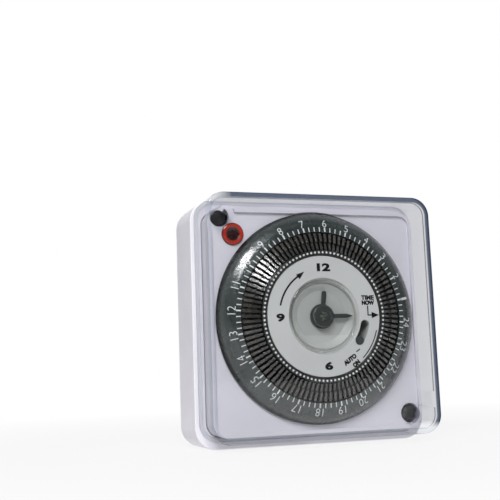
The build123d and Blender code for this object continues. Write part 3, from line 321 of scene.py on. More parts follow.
finish_nodes(gear_acetal, "dial_gear", "day_arbor", "hour_wheel", "minute_wheel", "drive_wheel",
             "motor_pinion")
finish_nodes(arbor_steel, "minute_arbor", "motion_stud")
finish_nodes(plate_steel, "rear_plate")
finish_nodes(can_steel, "motor_can", "motor_gear_pack")
finish_nodes(coil_wrap, "motor_coil")
finish_nodes(tab_tinned, "contact_blade", "fixed_contact", "switch_tabs")
finish_nodes(switch_plastic, "switch_body", "switch_button", "switch_follower")
finish_nodes(switch_lid_grey, "switch_lid")
finish_nodes(block_white, "terminal_block")

# ------------------------------------------------------------------ front frame
# White tray with a low upstand, moulded in the same ABS as the case; it carries the
# movement behind and has a round pocket under the dial.
FRAME_EDGE = 0.12
settle(from_node("front_frame", FRAME_EDGE, angle=55.0), "frame_tray", case_white, "housing",
       ["front_frame"])

# ------------------------------------------------------------------ neon
# Moulded red lens pushed into the frame from the front: a rounded collar round a dished
# middle, painted dark red as a painted shade of the unlit lamp and hollow behind it; the
# collar's outer edge is painted darker, a painted shade where it curls away.
AXIS = sum(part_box("dial_ring"), Vector()) / 2
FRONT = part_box("cover")[0].y


def spot(right, up, depth):
    """A place in metres from its place on the face in millimetres."""
    return Vector((AXIS.x + right * MM, FRONT + depth * MM, AXIS.z + up * MM))


def round_size(node):
    """Radius, front and back of a round CAD node, in millimetres."""
    low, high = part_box(node)
    return (high.x - low.x) / 2 / MM, (low.y - FRONT) / MM, (high.y - FRONT) / MM


def lathe(profile, centre=(0.0, 0.0), steps=96):
    """Draw a closed profile of radii and depths point by point and spin it round an axis."""
    x, z = centre
    bpy.ops.mesh.primitive_plane_add(size=MM, location=spot(x + profile[0][0], z, profile[0][1]))
    piece = bpy.context.object
    bpy.ops.object.transform_apply(location=True, rotation=True, scale=True)
    bpy.ops.object.mode_set(mode="EDIT")
    bpy.ops.mesh.select_mode(type="VERT")
    bpy.ops.mesh.select_all(action="SELECT")
    bpy.ops.mesh.merge(type="CENTER")
    for here, there in zip(profile, [*profile[1:], profile[0]]):
        step = ((there[0] - here[0]) * MM, (there[1] - here[1]) * MM, 0.0)
        bpy.ops.mesh.extrude_vertices_move(TRANSFORM_OT_translate={"value": step})
    bpy.ops.mesh.select_all(action="SELECT")
    bpy.ops.mesh.remove_doubles(threshold=WELD / 2)
    bpy.ops.mesh.select_all(action="SELECT")
    bpy.ops.mesh.spin(steps=steps, angle=2 * pi, center=spot(x, z, 0.0), axis=(0, 1, 0))
    bpy.ops.mesh.select_all(action="SELECT")
    bpy.ops.mesh.remove_doubles(threshold=WELD)
    bpy.ops.mesh.normals_make_consistent(inside=False)
    bpy.ops.object.mode_set(mode="OBJECT")
    return piece


def arc(start, end, pull_r, pull_d, count):
    """Points from start to end of a profile, bowed towards a third point."""
    points = []
    for n in range(count + 1):
        t = n / count
        a, b, c = (1 - t) ** 2, 2 * t * (1 - t), t * t
        points.append((a * start[0] + b * pull_r + c * end[0],
                       a * start[1] + b * pull_d + c * end[1]))
    return points


lens_middle = sum(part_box("neon_lens"), Vector()) / 2
NEON = ((lens_middle.x - AXIS.x) / MM, (lens_middle.z - AXIS.z) / MM)
LENS_R, LENS_TOP, LENS_TAIL = round_size("neon_lens")
LENS_SEAT = 9.6
LENS_WALL = 0.55
LENS_BORE_R = 1.7
LENS_FLOOR = LENS_SEAT + 0.35
DISH_R = LENS_R - 1.35
DISH_DEPTH = LENS_TOP + 0.55
collar = [(0.0, DISH_DEPTH)]
collar += arc((0.6, LENS_TOP + 0.54), (DISH_R, LENS_TOP + 0.22), 1.9, LENS_TOP + 0.5, 6)
collar += arc((DISH_R + 0.05, LENS_TOP + 0.12), (LENS_R, LENS_SEAT - 0.3),
              LENS_R - 0.15, LENS_TOP - 0.16, 8)
collar += [(LENS_R, LENS_SEAT), (LENS_R - LENS_WALL, LENS_SEAT), (LENS_R - LENS_WALL, LENS_TAIL),
           (LENS_BORE_R, LENS_TAIL), (LENS_BORE_R, LENS_FLOOR), (0.0, LENS_FLOOR)]
neon_red = Finish("neon_red", Roughness=0.16, IOR=1.5)
off_middle = neon_red.vector_math("SUBTRACT", neon_red.place, tuple(spot(*NEON, 0.0)))
off_middle = neon_red.vector_math("MULTIPLY", off_middle, (1.0, 0.0, 1.0))
from_middle = neon_red.vector_math("LENGTH", off_middle, output="Value")
rim = neon_red.between(from_middle, (DISH_R - 0.45) * MM, (DISH_R + 0.15) * MM)
outside = neon_red.between(from_middle, (LENS_R - 0.5) * MM, (LENS_R - 0.1) * MM)
mottle = neon_red.between(neon_red.noise(1100, 2), 0.4, 0.65)
# painted shade: a dark mottled middle for the unlit inside behind the lens, and a darker outer edge
dark_middle_shade = neon_red.colours(mottle, (0.020, 0.010, 0.010), (0.065, 0.014, 0.013))
collar_red_and_edge_shade = neon_red.colours(outside, (0.52, 0.034, 0.018), (0.12, 0.008, 0.006))
neon_red.set(Base_Color=neon_red.colours(rim, dark_middle_shade, collar_red_and_edge_shade))
neon_red.bumps(neon_red.noise(1800, 2), 0.3, 0.03)
settle(rounded(lathe(collar, NEON, steps=64)), "neon_collar", neon_red, "housing",
       ["neon_lens"])
lamp_glass = Finish("lamp_glass", Base_Color=(0.75, 0.72, 0.70), Roughness=0.08,
                    Transmission_Weight=0.6, IOR=1.5)
finish_nodes(lamp_glass, "neon_lamp")

# ------------------------------------------------------------------ pedestal and face disc
# The pedestal is white ABS, screwed to the frame from behind; a cove slopes down from the wall
# of its well. The disc on it is a thin pale grey plate with a matt face that takes the legends.
COVE_IN_R, COVE_OUT_R = 8.9, 11.35
COVE_TOP, COVE_FOOT = 4.45, 5.39


def joined(pieces):
    """Several meshes as one piece."""
    only(pieces[0])
    for piece in pieces:
        piece.select_set(True)
    bpy.ops.object.join()
    return bpy.context.object


pedestal_white = grained("pedestal_white", (0.65, 0.66, 0.62), (0.58, 0.59, 0.55),
                         grain=0.25, depth=0.02, rough=0.40)
disc_pale = grained("disc_pale", (0.68, 0.69, 0.67), (0.64, 0.65, 0.63),
                    grain=0.12, depth=0.012, rough=0.44)
well_cove = lathe([(COVE_IN_R, COVE_FOOT), (COVE_OUT_R, COVE_TOP), (COVE_OUT_R, COVE_FOOT)],
                  steps=128)
hand_well = joined([from_node("pedestal", edge=0.1, angle=50.0), rounded(well_cove)])
settle(hand_well, "hand_well", pedestal_white, "housing", ["pedestal"])
face_plate = from_node("face_disc", edge=0.12, angle=50.0)
settle(face_plate, "face_plate", disc_pale, "housing", ["face_disc"])

# ------------------------------------------------------------------ legends of the face
# Black ink printed on the face disc: the clock's 12, 6 and 9, the pointer that reads the
# dial, the way the dial turns and the two places of the override lever.
DISC_TOP = round_size("face_disc")[1]
INK = 0.03
CLOCK_HIGH, POINTER_HIGH, LEVER_HIGH = 2.8, 1.65, 1.75
POINTER_LINE, LEVER_LINE, ON_LINE, TURN_LINE = 0.42, 0.4, 0.36, 0.62
SLIVER = 0.001
ink_black = grained("ink_black", (0.006, 0.006, 0.007), (0.004, 0.004, 0.005),
                    grain=0.2, depth=0.004, rough=0.6, Specular_IOR_Level=0.15)


def lettering(words, wide, high, bold):
    """Flat words in millimetres round the origin: X along them, Y up, a skin of ink thick."""
    bpy.ops.object.text_add(location=(0, 0, 0))
    text = bpy.context.object
    text.data.body = words
    text.data.size, text.data.offset = 1.0, bold
    text.data.resolution_u = 4
    text.data.extrude = 0.5
    only(text)
    bpy.ops.object.convert(target="MESH")
    letters = bpy.context.object
    xs = [v.co.x for v in letters.data.vertices]
    ys = [v.co.y for v in letters.data.vertices]
    for v in letters.data.vertices:
        v.co.x = ((v.co.x - min(xs)) / (max(xs) - min(xs)) - 0.5) * wide
        v.co.y = ((v.co.y - min(ys)) / (max(ys) - min(ys)) - 0.5) * high
        v.co.z = 0.0 if v.co.z < 0 else INK
    return letters


def lay_flat(letters, right, up, turned):
    """Put flat words on the face disc, turned anticlockwise about their middle."""
    for v in letters.data.vertices:
        x = v.co.x * cos(radians(turned)) - v.co.y * sin(radians(turned))
        z = v.co.x * sin(radians(turned)) + v.co.y * cos(radians(turned))
        v.co = spot(right + x, up + z, DISC_TOP - v.co.z)
    return letters


def bar(x0, z0, x1, z1, wide):
    """A printed stroke between two places."""
    long = hypot(x1 - x0, z1 - z0)
    bpy.ops.mesh.primitive_cube_add(size=1.0, location=(0, 0, 0))
    stroke = bpy.context.object
    for v in stroke.data.vertices:
        v.co = (v.co.x * long, v.co.y * wide, (v.co.z + 0.5) * INK)
    return lay_flat(stroke, (x0 + x1) / 2, (z0 + z1) / 2, degrees(atan2(z1 - z0, x1 - x0)))


def arrow_head(x, z, long, wide, turned):
    """A printed triangle whose tip is at x, z."""
    bpy.ops.mesh.primitive_cylinder_add(vertices=3, radius=1.0, depth=1.0, location=(0, 0, 0))
    head = bpy.context.object
    for v in head.data.vertices:
        # the primitive's first corner points along +Y, 1.5 from the opposite side
        v.co = ((v.co.y - 1.0) / 1.5 * long, -v.co.x / sqrt(3) * wide, (v.co.z + 0.5) * INK)
    return lay_flat(head, x, z, turned)


def curved_stroke(radius, wide, start, end):
    """A printed arc about the dial axis: a sliver whose upper side is spun on to the end."""
    bpy.ops.mesh.primitive_cube_add(size=1.0, location=(0, 0, 0))
    stroke = bpy.context.object
    for v in stroke.data.vertices:
        v.co = spot(radius + v.co.x * wide, v.co.z * SLIVER, DISC_TOP - (v.co.y + 0.5) * INK)
    only(stroke)
    bpy.ops.object.mode_set(mode="EDIT")
    bpy.ops.mesh.select_all(action="DESELECT")
    bpy.ops.object.mode_set(mode="OBJECT")
    for polygon in stroke.data.polygons:
        polygon.select = polygon.normal.z > 0.5
    bpy.ops.object.mode_set(mode="EDIT")
    bpy.ops.mesh.select_mode(type="FACE")
    bpy.ops.mesh.spin(steps=max(8, int(abs(end - start) / 2)), angle=radians(end - start),
                      center=spot(0, 0, 0), axis=(0, 1, 0))
    bpy.ops.mesh.select_all(action="SELECT")
    bpy.ops.mesh.remove_doubles(threshold=SLIVER * MM / 10)
    bpy.ops.mesh.normals_make_consistent(inside=False)
    bpy.ops.object.mode_set(mode="OBJECT")
    stroke.data.transform(Matrix.Translation(AXIS) @ Matrix.Rotation(-radians(start), 4, "Y")
                          @ Matrix.Translation(-AXIS))
    return stroke


legends = [
    lay_flat(lettering("12", 5.0, CLOCK_HIGH, 0.055), 0.4, 16.8, 0),
    lay_flat(lettering("9", 3.0, CLOCK_HIGH, 0.05), -16.1, -0.4, 0),
    lay_flat(lettering("6", 3.0, CLOCK_HIGH, 0.055), 0.8, -17.0, 0),
    lay_flat(lettering("TIME", 4.9, POINTER_HIGH, 0.055), 16.5, 6.2, 0),
    lay_flat(lettering("NOW", 4.8, POINTER_HIGH, 0.08), 16.6, 4.4, 0),
    bar(16.4, 3.3, 16.4, 0.1, POINTER_LINE),
    bar(16.2, 0.1, 18.5, 0.1, POINTER_LINE),
    arrow_head(20.6, 0.1, 2.8, 2.2, 0),
    lay_flat(lettering("AUTO", 5.5, LEVER_HIGH, 0.085), 8.7, -15.1, 34),
    lay_flat(lettering("ON", 2.9, LEVER_HIGH, 0.085), 11.0, -16.5, 38),
    bar(11.2, -12.5, 12.6, -11.6, LEVER_LINE),
    curved_stroke(20.0, ON_LINE, -47, -15),
    curved_stroke(16.4, TURN_LINE, 122, 167),
    arrow_head(-6.8, 15.3, 3.1, 2.1, 38),
]
settle(joined(legends), "face_legends", ink_black, "housing")

# ------------------------------------------------------------------ override lever
# Dark grey acetal lever that turns about the dial axis behind the frame; only its round
# knob comes up through the slot of the face disc.
lever_dark = grained("lever_dark", (0.050, 0.060, 0.056), (0.038, 0.046, 0.043),
                     grain=0.3, depth=0.012, rough=0.30)
lever_arm = from_node("override_lever", edge=0.18, angle=50.0, segments=3)
settle(lever_arm, "lever_arm", lever_dark, "override", ["override_lever"])

# ------------------------------------------------------------------ hands
# Dark grey-green moulded hands; the minute hand has a round boss with a steel pin's cap
# in its recess, and the hour hand sits behind it on the pipe, with a wider skirt round it.
SKIRT_IN_R, SKIRT_R, SKIRT_FLARE = 2.9, 4.25, 0.05
SKIRT_TOP, SKIRT_FOOT = 4.4, 5.1
hand_dark = grained("hand_dark", (0.052, 0.064, 0.058), (0.040, 0.050, 0.046),
                    grain=0.4, depth=0.02, rough=0.26, Coat_Weight=0.7, Coat_Roughness=0.12)
hour_skirt = lathe([(SKIRT_IN_R, SKIRT_TOP), (SKIRT_R, SKIRT_TOP),
                    (SKIRT_R + SKIRT_FLARE, SKIRT_FOOT), (SKIRT_IN_R, SKIRT_FOOT)], steps=64)
short_hand = joined([from_node("hour_hand", edge=0.1, angle=50.0), rounded(hour_skirt)])
settle(short_hand, "short_hand", hand_dark, "hour", ["hour_hand"])
long_hand = from_node("minute_hand", edge=0.1, angle=50.0)
settle(long_hand, "long_hand", hand_dark, "minute", ["minute_hand"])
pin_steel = metal("pin_steel", (0.26, 0.29, 0.26), rough=0.24, grain=1400)
pin_cap = from_node("hub_cap", edge=0.05, angle=50.0)
settle(pin_cap, "pin_cap", pin_steel, "minute", ["hub_cap"])


# ------------------------------------------------------------------ crystal
# Clear polycarbonate cap pressed into the face disc over the hands, with a shallow groove
# inside its rounded rim.
def clear(name, tint, along, sharp, ior, passed):
    """Clear plastic: glossy, with a painted shade where it is seen along its wall.

    Lamps and scattered light pass it as they pass a thin sheet of the colour passed."""
    finish = Finish(name, Roughness=0.0, IOR=ior, Transmission_Weight=1.0, Coat_Weight=1.0,
                    Coat_Roughness=0.03, Coat_IOR=1.5)
    facing = finish.add("ShaderNodeLayerWeight", {}, {"Blend": 0.5}, output="Facing")
    # painted shade: the tint turns to the along colour where the wall is seen edge-on
    finish.tinted = finish.colours(facing ** sharp, tint, along)
    finish.set(Base_Color=finish.tinted)
    shadow, diffuse = finish.rays("Is Shadow Ray", "Is Diffuse Ray")
    glass = Wire(finish, finish.shader.outputs[0])
    sheet = finish.add("ShaderNodeBsdfTransparent", {}, [passed])
    finish.put(finish.output.inputs["Surface"],
               finish.add("ShaderNodeMixShader", {}, [shadow + diffuse, glass, sheet]))
    return finish


CRYSTAL_R, CRYSTAL_TOP, CRYSTAL_BACK = round_size("hand_crystal")
crystal_profile = [(0.0, CRYSTAL_TOP + 0.1), (CRYSTAL_R - 2.6, CRYSTAL_TOP + 0.1)]
crystal_profile += [(CRYSTAL_R - 2.2, CRYSTAL_TOP + 0.35), (CRYSTAL_R - 1.5, CRYSTAL_TOP + 0.35),
                    (CRYSTAL_R - 1.1, CRYSTAL_TOP + 0.02)]
crystal_profile += arc((CRYSTAL_R - 0.7, CRYSTAL_TOP), (CRYSTAL_R, CRYSTAL_TOP + 0.5),
                       CRYSTAL_R, CRYSTAL_TOP, 5)
crystal_profile += [(CRYSTAL_R, CRYSTAL_BACK), (CRYSTAL_R - 0.6, CRYSTAL_BACK),
                    (CRYSTAL_R - 0.75, CRYSTAL_TOP + 0.9), (0.0, CRYSTAL_TOP + 0.8)]
# painted shade: the second colour darkens the cap where its rim is seen edge-on
crystal_clear = clear("crystal_clear", (0.97, 0.975, 0.965), (0.42, 0.46, 0.44), sharp=2.0,
                      ior=1.45, passed=(0.93, 0.94, 0.95))
settle(rounded(lathe(crystal_profile, steps=128)), "crystal_cap", crystal_clear, "housing",
       ["hand_crystal"])

# ------------------------------------------------------------------ dial ring
# Dark slate ring in glossy ABS, fixed to the tappet carrier behind it: a narrow band for the
# ticks that falls a little outwards, then a bowed shoulder for the hours. Its foot is painted
# near black and left without coat, a painted shade of its outer wall.
TICK_R = 29.45
BAND_R = 31.8
DIAL_R, DIAL_TOP, DIAL_FOOT = round_size("dial_ring")
BAND_END = DIAL_TOP + 0.5
SHOULDER_END = 8.6
SHOULDER_BOW = 0.55
SHOULDER_STEPS = 16
FLANGE_R, FLANGE_FOOT = 30.85, 7.9
SKIN = 1.4
FOOT_FROM, FOOT_TO = DIAL_R - 1.2, DIAL_R - 0.6
SHOULDER = ((BAND_R, BAND_END),
            ((BAND_R + DIAL_R) / 2 + SHOULDER_BOW, (BAND_END + SHOULDER_END) / 2 - SHOULDER_BOW),
            (DIAL_R, SHOULDER_END))


def circle_through(a, b, c):
    """Centre and radius of the circle through three points of a profile."""
    d = 2 * (a[0] * (b[1] - c[1]) + b[0] * (c[1] - a[1]) + c[0] * (a[1] - b[1]))
    sa, sb, sc = (p[0] ** 2 + p[1] ** 2 for p in (a, b, c))
    x = (sa * (b[1] - c[1]) + sb * (c[1] - a[1]) + sc * (a[1] - b[1])) / d
    y = (sa * (c[0] - b[0]) + sb * (a[0] - c[0]) + sc * (b[0] - a[0])) / d
    return x, y, hypot(a[0] - x, a[1] - y)


BOW_R, BOW_D, BOW = circle_through(*SHOULDER)


def dial_depth(radius):
    """Depth of the ring's printed face at a radius from the dial axis."""
    if radius < BAND_R:
        return DIAL_TOP + (BAND_END - DIAL_TOP) * (radius - TICK_R) / (BAND_R - TICK_R)
    return BOW_D - sqrt(BOW ** 2 - (radius - BOW_R) ** 2)


def from_axis(finish):
    """Distance of a place from the dial axis, in millimetres."""
    x, y, z = finish.parts(finish.place)
    across, upward = (x - AXIS.x) * (1 / MM), (z - AXIS.z) * (1 / MM)
    return (across * across + upward * upward) ** 0.5


ring_profile = [(TICK_R, DIAL_TOP)]
for n in range(SHOULDER_STEPS + 1):
    out = BAND_R + (DIAL_R - BAND_R) * n / SHOULDER_STEPS
    ring_profile.append((out, dial_depth(out)))
ring_profile += [(DIAL_R, DIAL_FOOT), (DIAL_R - SKIN, DIAL_FOOT), (BAND_R, BAND_END + SKIN),
                 (FLANGE_R, BAND_END + SKIN), (FLANGE_R, FLANGE_FOOT), (TICK_R, FLANGE_FOOT)]
dial_slate = grained("dial_slate", (0.021, 0.032, 0.030), (0.016, 0.025, 0.023),
                     grain=1.2, depth=0.0001, rough=0.27, spread=0.04,
                     Coat_Weight=1.0, Coat_Roughness=0.16)
slate = Wire(dial_slate, dial_slate.shader.inputs["Base Color"].links[0].from_socket)
# painted shade: the outer foot of the ring is painted near black, with no coat
foot_shade = dial_slate.between(from_axis(dial_slate), FOOT_FROM, FOOT_TO)
dial_slate.set(Base_Color=dial_slate.colours(foot_shade, slate, (0.004, 0.006, 0.006)),
               Coat_Weight=1 - foot_shade)
dial_rim = rounded(lathe(ring_profile, steps=240), edge=0.12, angle=25.0)
settle(dial_rim, "dial_rim", dial_slate, "dial", ["dial_ring"])

# ------------------------------------------------------------------ ticks and hours of the dial
# White pad printing on the ring: one tick for each tappet, a bolder one at each hour, and
# the hours 1 to 24, which stand with their tops outward.
TAPPETS = 96
TICK_STEP = 360 / TAPPETS
HOUR_24 = -4.4
TICK_LONG, TICK_WIDE, HOUR_TICK_WIDE = 1.6, 0.33, 0.5
TICK_MIDDLE_R = TICK_R + 0.12 + TICK_LONG / 2
NUMBER_R = 32.65
NUMBER_HIGH = 2.6
ONE_WIDE, DIGIT_WIDE, DIGIT_GAP = 0.85, 1.5, 0.42
NUMBER_THIN = -0.012
ink_white = grained("ink_white", (0.84, 0.87, 0.86), (0.72, 0.75, 0.74),
                    grain=0.5, depth=0.004, rough=0.45)


def print_on_dial(letters, radius, angle):
    """Wrap flat words round the dial's face, their tops outward, at a radius and an angle."""
    for v in letters.data.vertices:
        out, turned, lift = radius + v.co.y, radians(angle) - v.co.x / radius, v.co.z
        rise = (dial_depth(out + 0.05) - dial_depth(out - 0.05)) / 0.1
        depth = dial_depth(out) - lift / hypot(1, rise)
        out += lift * rise / hypot(1, rise)
        v.co = spot(out * cos(turned), out * sin(turned), depth)
    return letters


def cut_across(letters, across, along):
    """Cut flat words into bands so that they bend with the face they are printed on."""
    only(letters)
    size = letters.dimensions
    bpy.ops.object.mode_set(mode="EDIT")
    for count, long, axis in ((across, size.y, (0, 1, 0)), (along, size.x, (1, 0, 0))):
        for n in range(1, count):
            bpy.ops.mesh.select_all(action="SELECT")
            at = tuple(c * (n / count - 0.5) * long for c in axis)
            bpy.ops.mesh.bisect(plane_co=at, plane_no=axis)
    bpy.ops.object.mode_set(mode="OBJECT")
    return letters


ticks = []
for n in range(TAPPETS):
    wide = HOUR_TICK_WIDE if n % 4 == 0 else TICK_WIDE
    bpy.ops.mesh.primitive_cube_add(size=1.0, location=(0, 0, 0))
    tick = bpy.context.object
    for v in tick.data.vertices:
        v.co = (v.co.x * wide, v.co.y * TICK_LONG, 0.0 if v.co.z < 0 else INK)
    ticks.append(print_on_dial(tick, TICK_MIDDLE_R, HOUR_24 + TICK_STEP * n))
settle(joined(ticks), "dial_ticks", ink_white, "dial")

numbers = []
for hour in range(1, 25):
    digits = str(hour)
    wide = sum(ONE_WIDE if digit == "1" else DIGIT_WIDE for digit in digits)
    wide += DIGIT_GAP * (len(digits) - 1)
    number = cut_across(lettering(digits, wide, NUMBER_HIGH, NUMBER_THIN), 8, 2 * len(digits))
    numbers.append(print_on_dial(number, NUMBER_R, HOUR_24 + 15 * hour))
settle(joined(numbers), "dial_hours", ink_white, "dial")

# ------------------------------------------------------------------ carrier and dotted ring
# Black acetal carrier with a slot for each tappet; a raised ring inside them has a light
# dot for each quarter of an hour.
BAND_OUT_R, BAND_TOP, BAND_FOOT = round_size("dial_dot_ring")
BAND_IN_R = BAND_OUT_R - 1.8
DOTS_AT_R = BAND_OUT_R - 0.75
DOT_R = 0.38
dial_black = grained("dial_black", (0.010, 0.009, 0.0085), (0.006, 0.0055, 0.005),
                     grain=0.3, depth=0.01, rough=0.45)
finish_nodes(dial_black, "tappet_carrier")
band_profile = [(BAND_IN_R, BAND_TOP), (BAND_OUT_R, BAND_TOP), (BAND_OUT_R, BAND_FOOT),
                (BAND_IN_R, BAND_FOOT)]
dot_band = rounded(lathe(band_profile, steps=192), edge=0.15)
settle(dot_band, "dot_band", dial_black, "dial", ["dial_dot_ring"])
dots = []
for n in range(TAPPETS):
    angle = radians(HOUR_24 + TICK_STEP * n)
    place = spot(DOTS_AT_R * cos(angle), DOTS_AT_R * sin(angle), BAND_TOP)
    bpy.ops.mesh.primitive_cylinder_add(vertices=12, radius=DOT_R * MM, depth=2 * INK * MM,
                                        location=place, rotation=(pi / 2, 0, 0))
    bpy.ops.object.transform_apply(location=True, rotation=True, scale=True)
    dots.append(bpy.context.object)
settle(joined(dots), "band_dots", ink_white, "dial")

# ------------------------------------------------------------------ tappets
# Ninety-six tappets in dark brown-black acetal, eight to a group, each a blade that rises
# inwards in two slopes on a leg through the carrier; pushed in, one switches its quarter on.
SLOPE_FROM, SLOPE_TO = 25.2, 26.1
tappet_black = Finish("tappet_black", Coat_Weight=1.0, Coat_Roughness=0.15)
rubbed = tappet_black.between(tappet_black.noise(900, 3), 0.35, 0.65)
normal = tappet_black.add("ShaderNodeTexCoord", output="Normal")
# painted shade: faces turned away from the front, the blades' flanks in the gaps, are painted near
# black
side_shade = tappet_black.between(tappet_black.parts(normal)[1], -0.85, -0.55)
outer_slope = tappet_black.between(from_axis(tappet_black), SLOPE_FROM, SLOPE_TO)
tops = tappet_black.colours(rubbed, (0.029, 0.026, 0.021), (0.050, 0.044, 0.035))
tops = tappet_black.colours(outer_slope, (0.022, 0.022, 0.018), tops)
gloss = tappet_black.between(tappet_black.noise(300, 3), 0.3, 0.7, 0.17, 0.27)
tappet_black.set(Base_Color=tappet_black.colours(side_shade, tops, (0.004, 0.0035, 0.003)),
                 Roughness=gloss)
tappet_black.bumps(tappet_black.noise(1600, 3), 0.35, 0.006)
for node in sorted(frame["nodes"]):
    if node.startswith("tappets_"):
        fingers = from_node(node, edge=0.12, angle=50.0)
        settle(fingers, node.replace("tappets", "fingers"), tappet_black, node,
               [node])

# ------------------------------------------------------------------ cover, its seal and screws
# Clear polycarbonate hood with two long screw tubes; its walls and the front's outer edge are
# painted blue-grey on the top and right, a painted shade for the dark seen along them. It stands
# on a pale silicone cord and two black captive screws hold it.
COVER_LOW, COVER_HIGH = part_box("cover")
COVER_MIDDLE = (COVER_LOW + COVER_HIGH) / 2
COVER_HALF = (COVER_HIGH.x - COVER_LOW.x) / 2
COVER_CORNER = 6.6 * MM
TUBE_R = 3.4 * MM
# painted shade: wall and front-edge colours, pale for the bottom and left, dark blue-grey for the
# top and right
OPEN_WALL, WALL_SHADE = (0.96, 0.965, 0.975), (0.44, 0.44, 0.47)
OPEN_EDGE, EDGE_SHADE = (0.74, 0.77, 0.82), (0.03, 0.045, 0.08)
cover_clear = clear("cover_clear", (0.985, 0.988, 0.992), (0.78, 0.81, 0.87), sharp=4.0,
                    ior=1.002, passed=(0.78, 0.785, 0.80))
cover_x, cover_y, cover_z = cover_clear.parts(cover_clear.place)


def outside_outline(finish, x, z):
    """Distance of a place outside the cover's rounded square; inside it is negative."""
    straight = COVER_HALF - COVER_CORNER
    right = finish.math("ABSOLUTE", x - COVER_MIDDLE.x) - straight
    up = finish.math("ABSOLUTE", z - COVER_MIDDLE.z) - straight
    right, up = finish.math("MAXIMUM", right, 0.0), finish.math("MAXIMUM", up, 0.0)
    return (right * right + up * up) ** 0.5 - COVER_CORNER


# painted shade: the walls and the front's outer edge are painted dark, but pale along the bottom
# and the left
edge_off = outside_outline(cover_clear, cover_x, cover_z)
off_bottom = cover_clear.between(cover_z, COVER_LOW.z + 2 * MM, COVER_LOW.z + 4 * MM)
off_left = cover_clear.between(cover_x, COVER_LOW.x + 3 * MM, COVER_LOW.x + 9 * MM)
shaded_side = off_bottom * off_left
in_wall = cover_clear.between(edge_off, -0.9 * MM, -0.4 * MM)
near_edge = cover_clear.between(edge_off, -2.2 * MM, -1.7 * MM)
near_front = cover_clear.between(cover_y - COVER_LOW.y, 1.2 * MM, 2.6 * MM, 1.0, 0.0)
# painted shade: the tint with its edge shade in the front, the side-dependent wall colours on the
# walls
walls = cover_clear.colours(in_wall, cover_clear.tinted,
                            cover_clear.colours(shaded_side, OPEN_WALL, WALL_SHADE))
front_edge = cover_clear.colours(shaded_side, OPEN_EDGE, EDGE_SHADE)
# the two screw tubes have little gloss of their own
in_tubes = 0.0
for end in ("upper", "lower"):
    low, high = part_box(f"cover_screw_{end}")
    right, up = cover_x - (low.x + high.x) / 2, cover_z - (low.z + high.z) / 2
    in_tubes = ((right * right + up * up) ** 0.5 < TUBE_R) + in_tubes
cover_clear.set(Base_Color=cover_clear.colours(near_edge * near_front, walls, front_edge),
                Coat_Weight=0.35 - in_tubes * 0.3)
settle(from_node("cover"), "hood", cover_clear, "cover", ["cover"])

seal_rubber = grained("seal_rubber", (0.78, 0.79, 0.82), (0.72, 0.73, 0.76),
                      grain=0.3, depth=0.02, rough=0.6)
finish_nodes(seal_rubber, "cover_seal")
screw_black = grained("screw_black", (0.008, 0.008, 0.009), (0.005, 0.005, 0.006),
                      grain=0.25, depth=0.015, rough=0.24, Coat_Weight=1.0, Coat_Roughness=0.08)
for end in ("upper", "lower"):
    node = f"cover_screw_{end}"
    screw = from_node(node, edge=0.12, angle=50.0)
    settle(screw, f"hood_screw_{end}", screw_black, node, [node])

# ------------------------------------------------------------------ floor, lamps and camera
# A plain white floor that glows for scattered rays near the switch, a painted light on its
# underside; a bank of three soft lamps in front of the switch and above it to the left; and a
# white surround that lights it more dimly than it shows.
FLOOR_SHADE = (0.66, 0.66, 0.66)
UNDER_GLOW, UNDER_GLOW_FROM, UNDER_GLOW_TO = 0.95, 0.06, 0.16
WHITE_NEAR, WHITE_FROM, WHITE_TO = 0.84, 0.1, 0.35
bpy.ops.mesh.primitive_plane_add(size=6.0, location=(0, 0, 0))
floor = bpy.context.object
floor.name = "floor"
floor_white = Finish("floor_white", Base_Color=FLOOR_SHADE, Roughness=0.6)
camera_ray, through_ray, glossy_ray, diffuse_ray = floor_white.rays(
    "Is Camera Ray", "Is Transmission Ray", "Is Glossy Ray", "Is Diffuse Ray")
far = floor_white.vector_math("LENGTH", floor_white.place, output="Value")
shown_white = (camera_ray + through_ray + glossy_ray) * (
    floor_white.between(far, WHITE_FROM, WHITE_TO, WHITE_NEAR, 1.0))
# painted light: near the switch the floor glows for scattered rays, lighting its underside
glow_on_underside = diffuse_ray * floor_white.between(far, UNDER_GLOW_FROM, UNDER_GLOW_TO, UNDER_GLOW, 0.0)
glow = floor_white.add("ShaderNodeEmission", {}, [(1, 1, 1), 1.0])
floor_white.put(floor_white.output.inputs["Surface"], floor_white.add(
    "ShaderNodeMixShader", {}, [shown_white + glow_on_underside,
                                Wire(floor_white, floor_white.shader.outputs[0]), glow]))
floor.data.materials.append(floor_white.material)

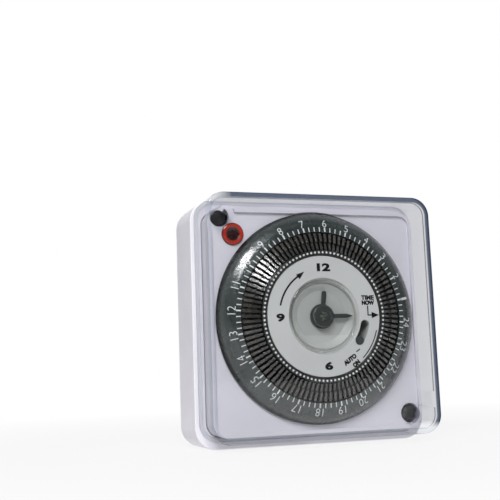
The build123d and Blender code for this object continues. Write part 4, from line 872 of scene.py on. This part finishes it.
LAMP_AWAY, LAMP_HIGH = 0.85, 0.20
LAMP_AIM = Vector((0.0, -0.015, 0.044))
LAMPS = (("front box", (-0.24, -0.82, 0.52), 0.15, 27.0),
         ("middle box", (-0.37, -0.69, 0.62), 0.16, 23.0),
         ("upper box", (-0.485, -0.549, 0.681), 0.20, 17.0))
for name, towards, wide, radiance in LAMPS:
    light = bpy.data.lights.new(name, "AREA")
    light.shape, light.size, light.size_y = "RECTANGLE", wide, LAMP_HIGH
    light.energy = radiance * pi * wide * LAMP_HIGH
    lamp = bpy.data.objects.new(name, light)
    lamp.location = LAMP_AIM + Vector(towards).normalized() * LAMP_AWAY
    lamp.rotation_euler = (-Vector(towards)).to_track_quat("-Z", "Y").to_euler()
    bpy.context.scene.collection.objects.link(lamp)

bpy.context.scene.world = bpy.data.worlds.new("surround")
bpy.context.scene.world.use_nodes = True
surround = Wiring(bpy.context.scene.world.node_tree)
background = surround.tree.nodes["Background"]
towards_x, towards_y, _ = surround.parts(surround.add("ShaderNodeTexCoord", output="Generated"))
camera_ray, through_ray, glossy_ray, diffuse_depth, glossy_depth = surround.rays(
    "Is Camera Ray", "Is Transmission Ray", "Is Glossy Ray", "Diffuse Depth", "Glossy Depth")
lights_matt = surround.between(towards_x, -0.9, 0.1, 0.08, 0.37)
lights_gloss = surround.between(towards_y, -0.85, -0.2, 0.05, 0.8)
mirrored = surround.math("MAXIMUM", glossy_ray, through_ray)
unbounced = diffuse_depth + glossy_depth < 0.5
seen = surround.math("MAXIMUM", camera_ray, through_ray) * unbounced
lighting = surround.mixed(mirrored, lights_matt, lights_gloss)
surround.put(background.inputs["Color"], (1, 1, 1))
surround.put(background.inputs["Strength"], surround.mixed(seen, lighting, 1.0))

CAMERA_PLACE = (-0.1197, -0.2954, 0.0245)
CAMERA_RIGHT = (0.9488, -0.3140, -0.0353)
CAMERA_UP = (-0.0113, -0.1453, 0.9893)
CAMERA_BACK = (-0.3157, -0.9383, -0.1414)
camera = bpy.data.objects.new("camera", bpy.data.cameras.new("camera"))
camera.data.sensor_width = 36.0
camera.data.lens = 63.38
camera.data.clip_start = 0.01
turned = Matrix((CAMERA_RIGHT, CAMERA_UP, CAMERA_BACK)).transposed()
camera.matrix_world = Matrix.Translation(CAMERA_PLACE) @ turned.to_4x4()
bpy.context.scene.collection.objects.link(camera)
bpy.context.scene.camera = camera
bpy.context.scene.view_settings.view_transform = "Standard"
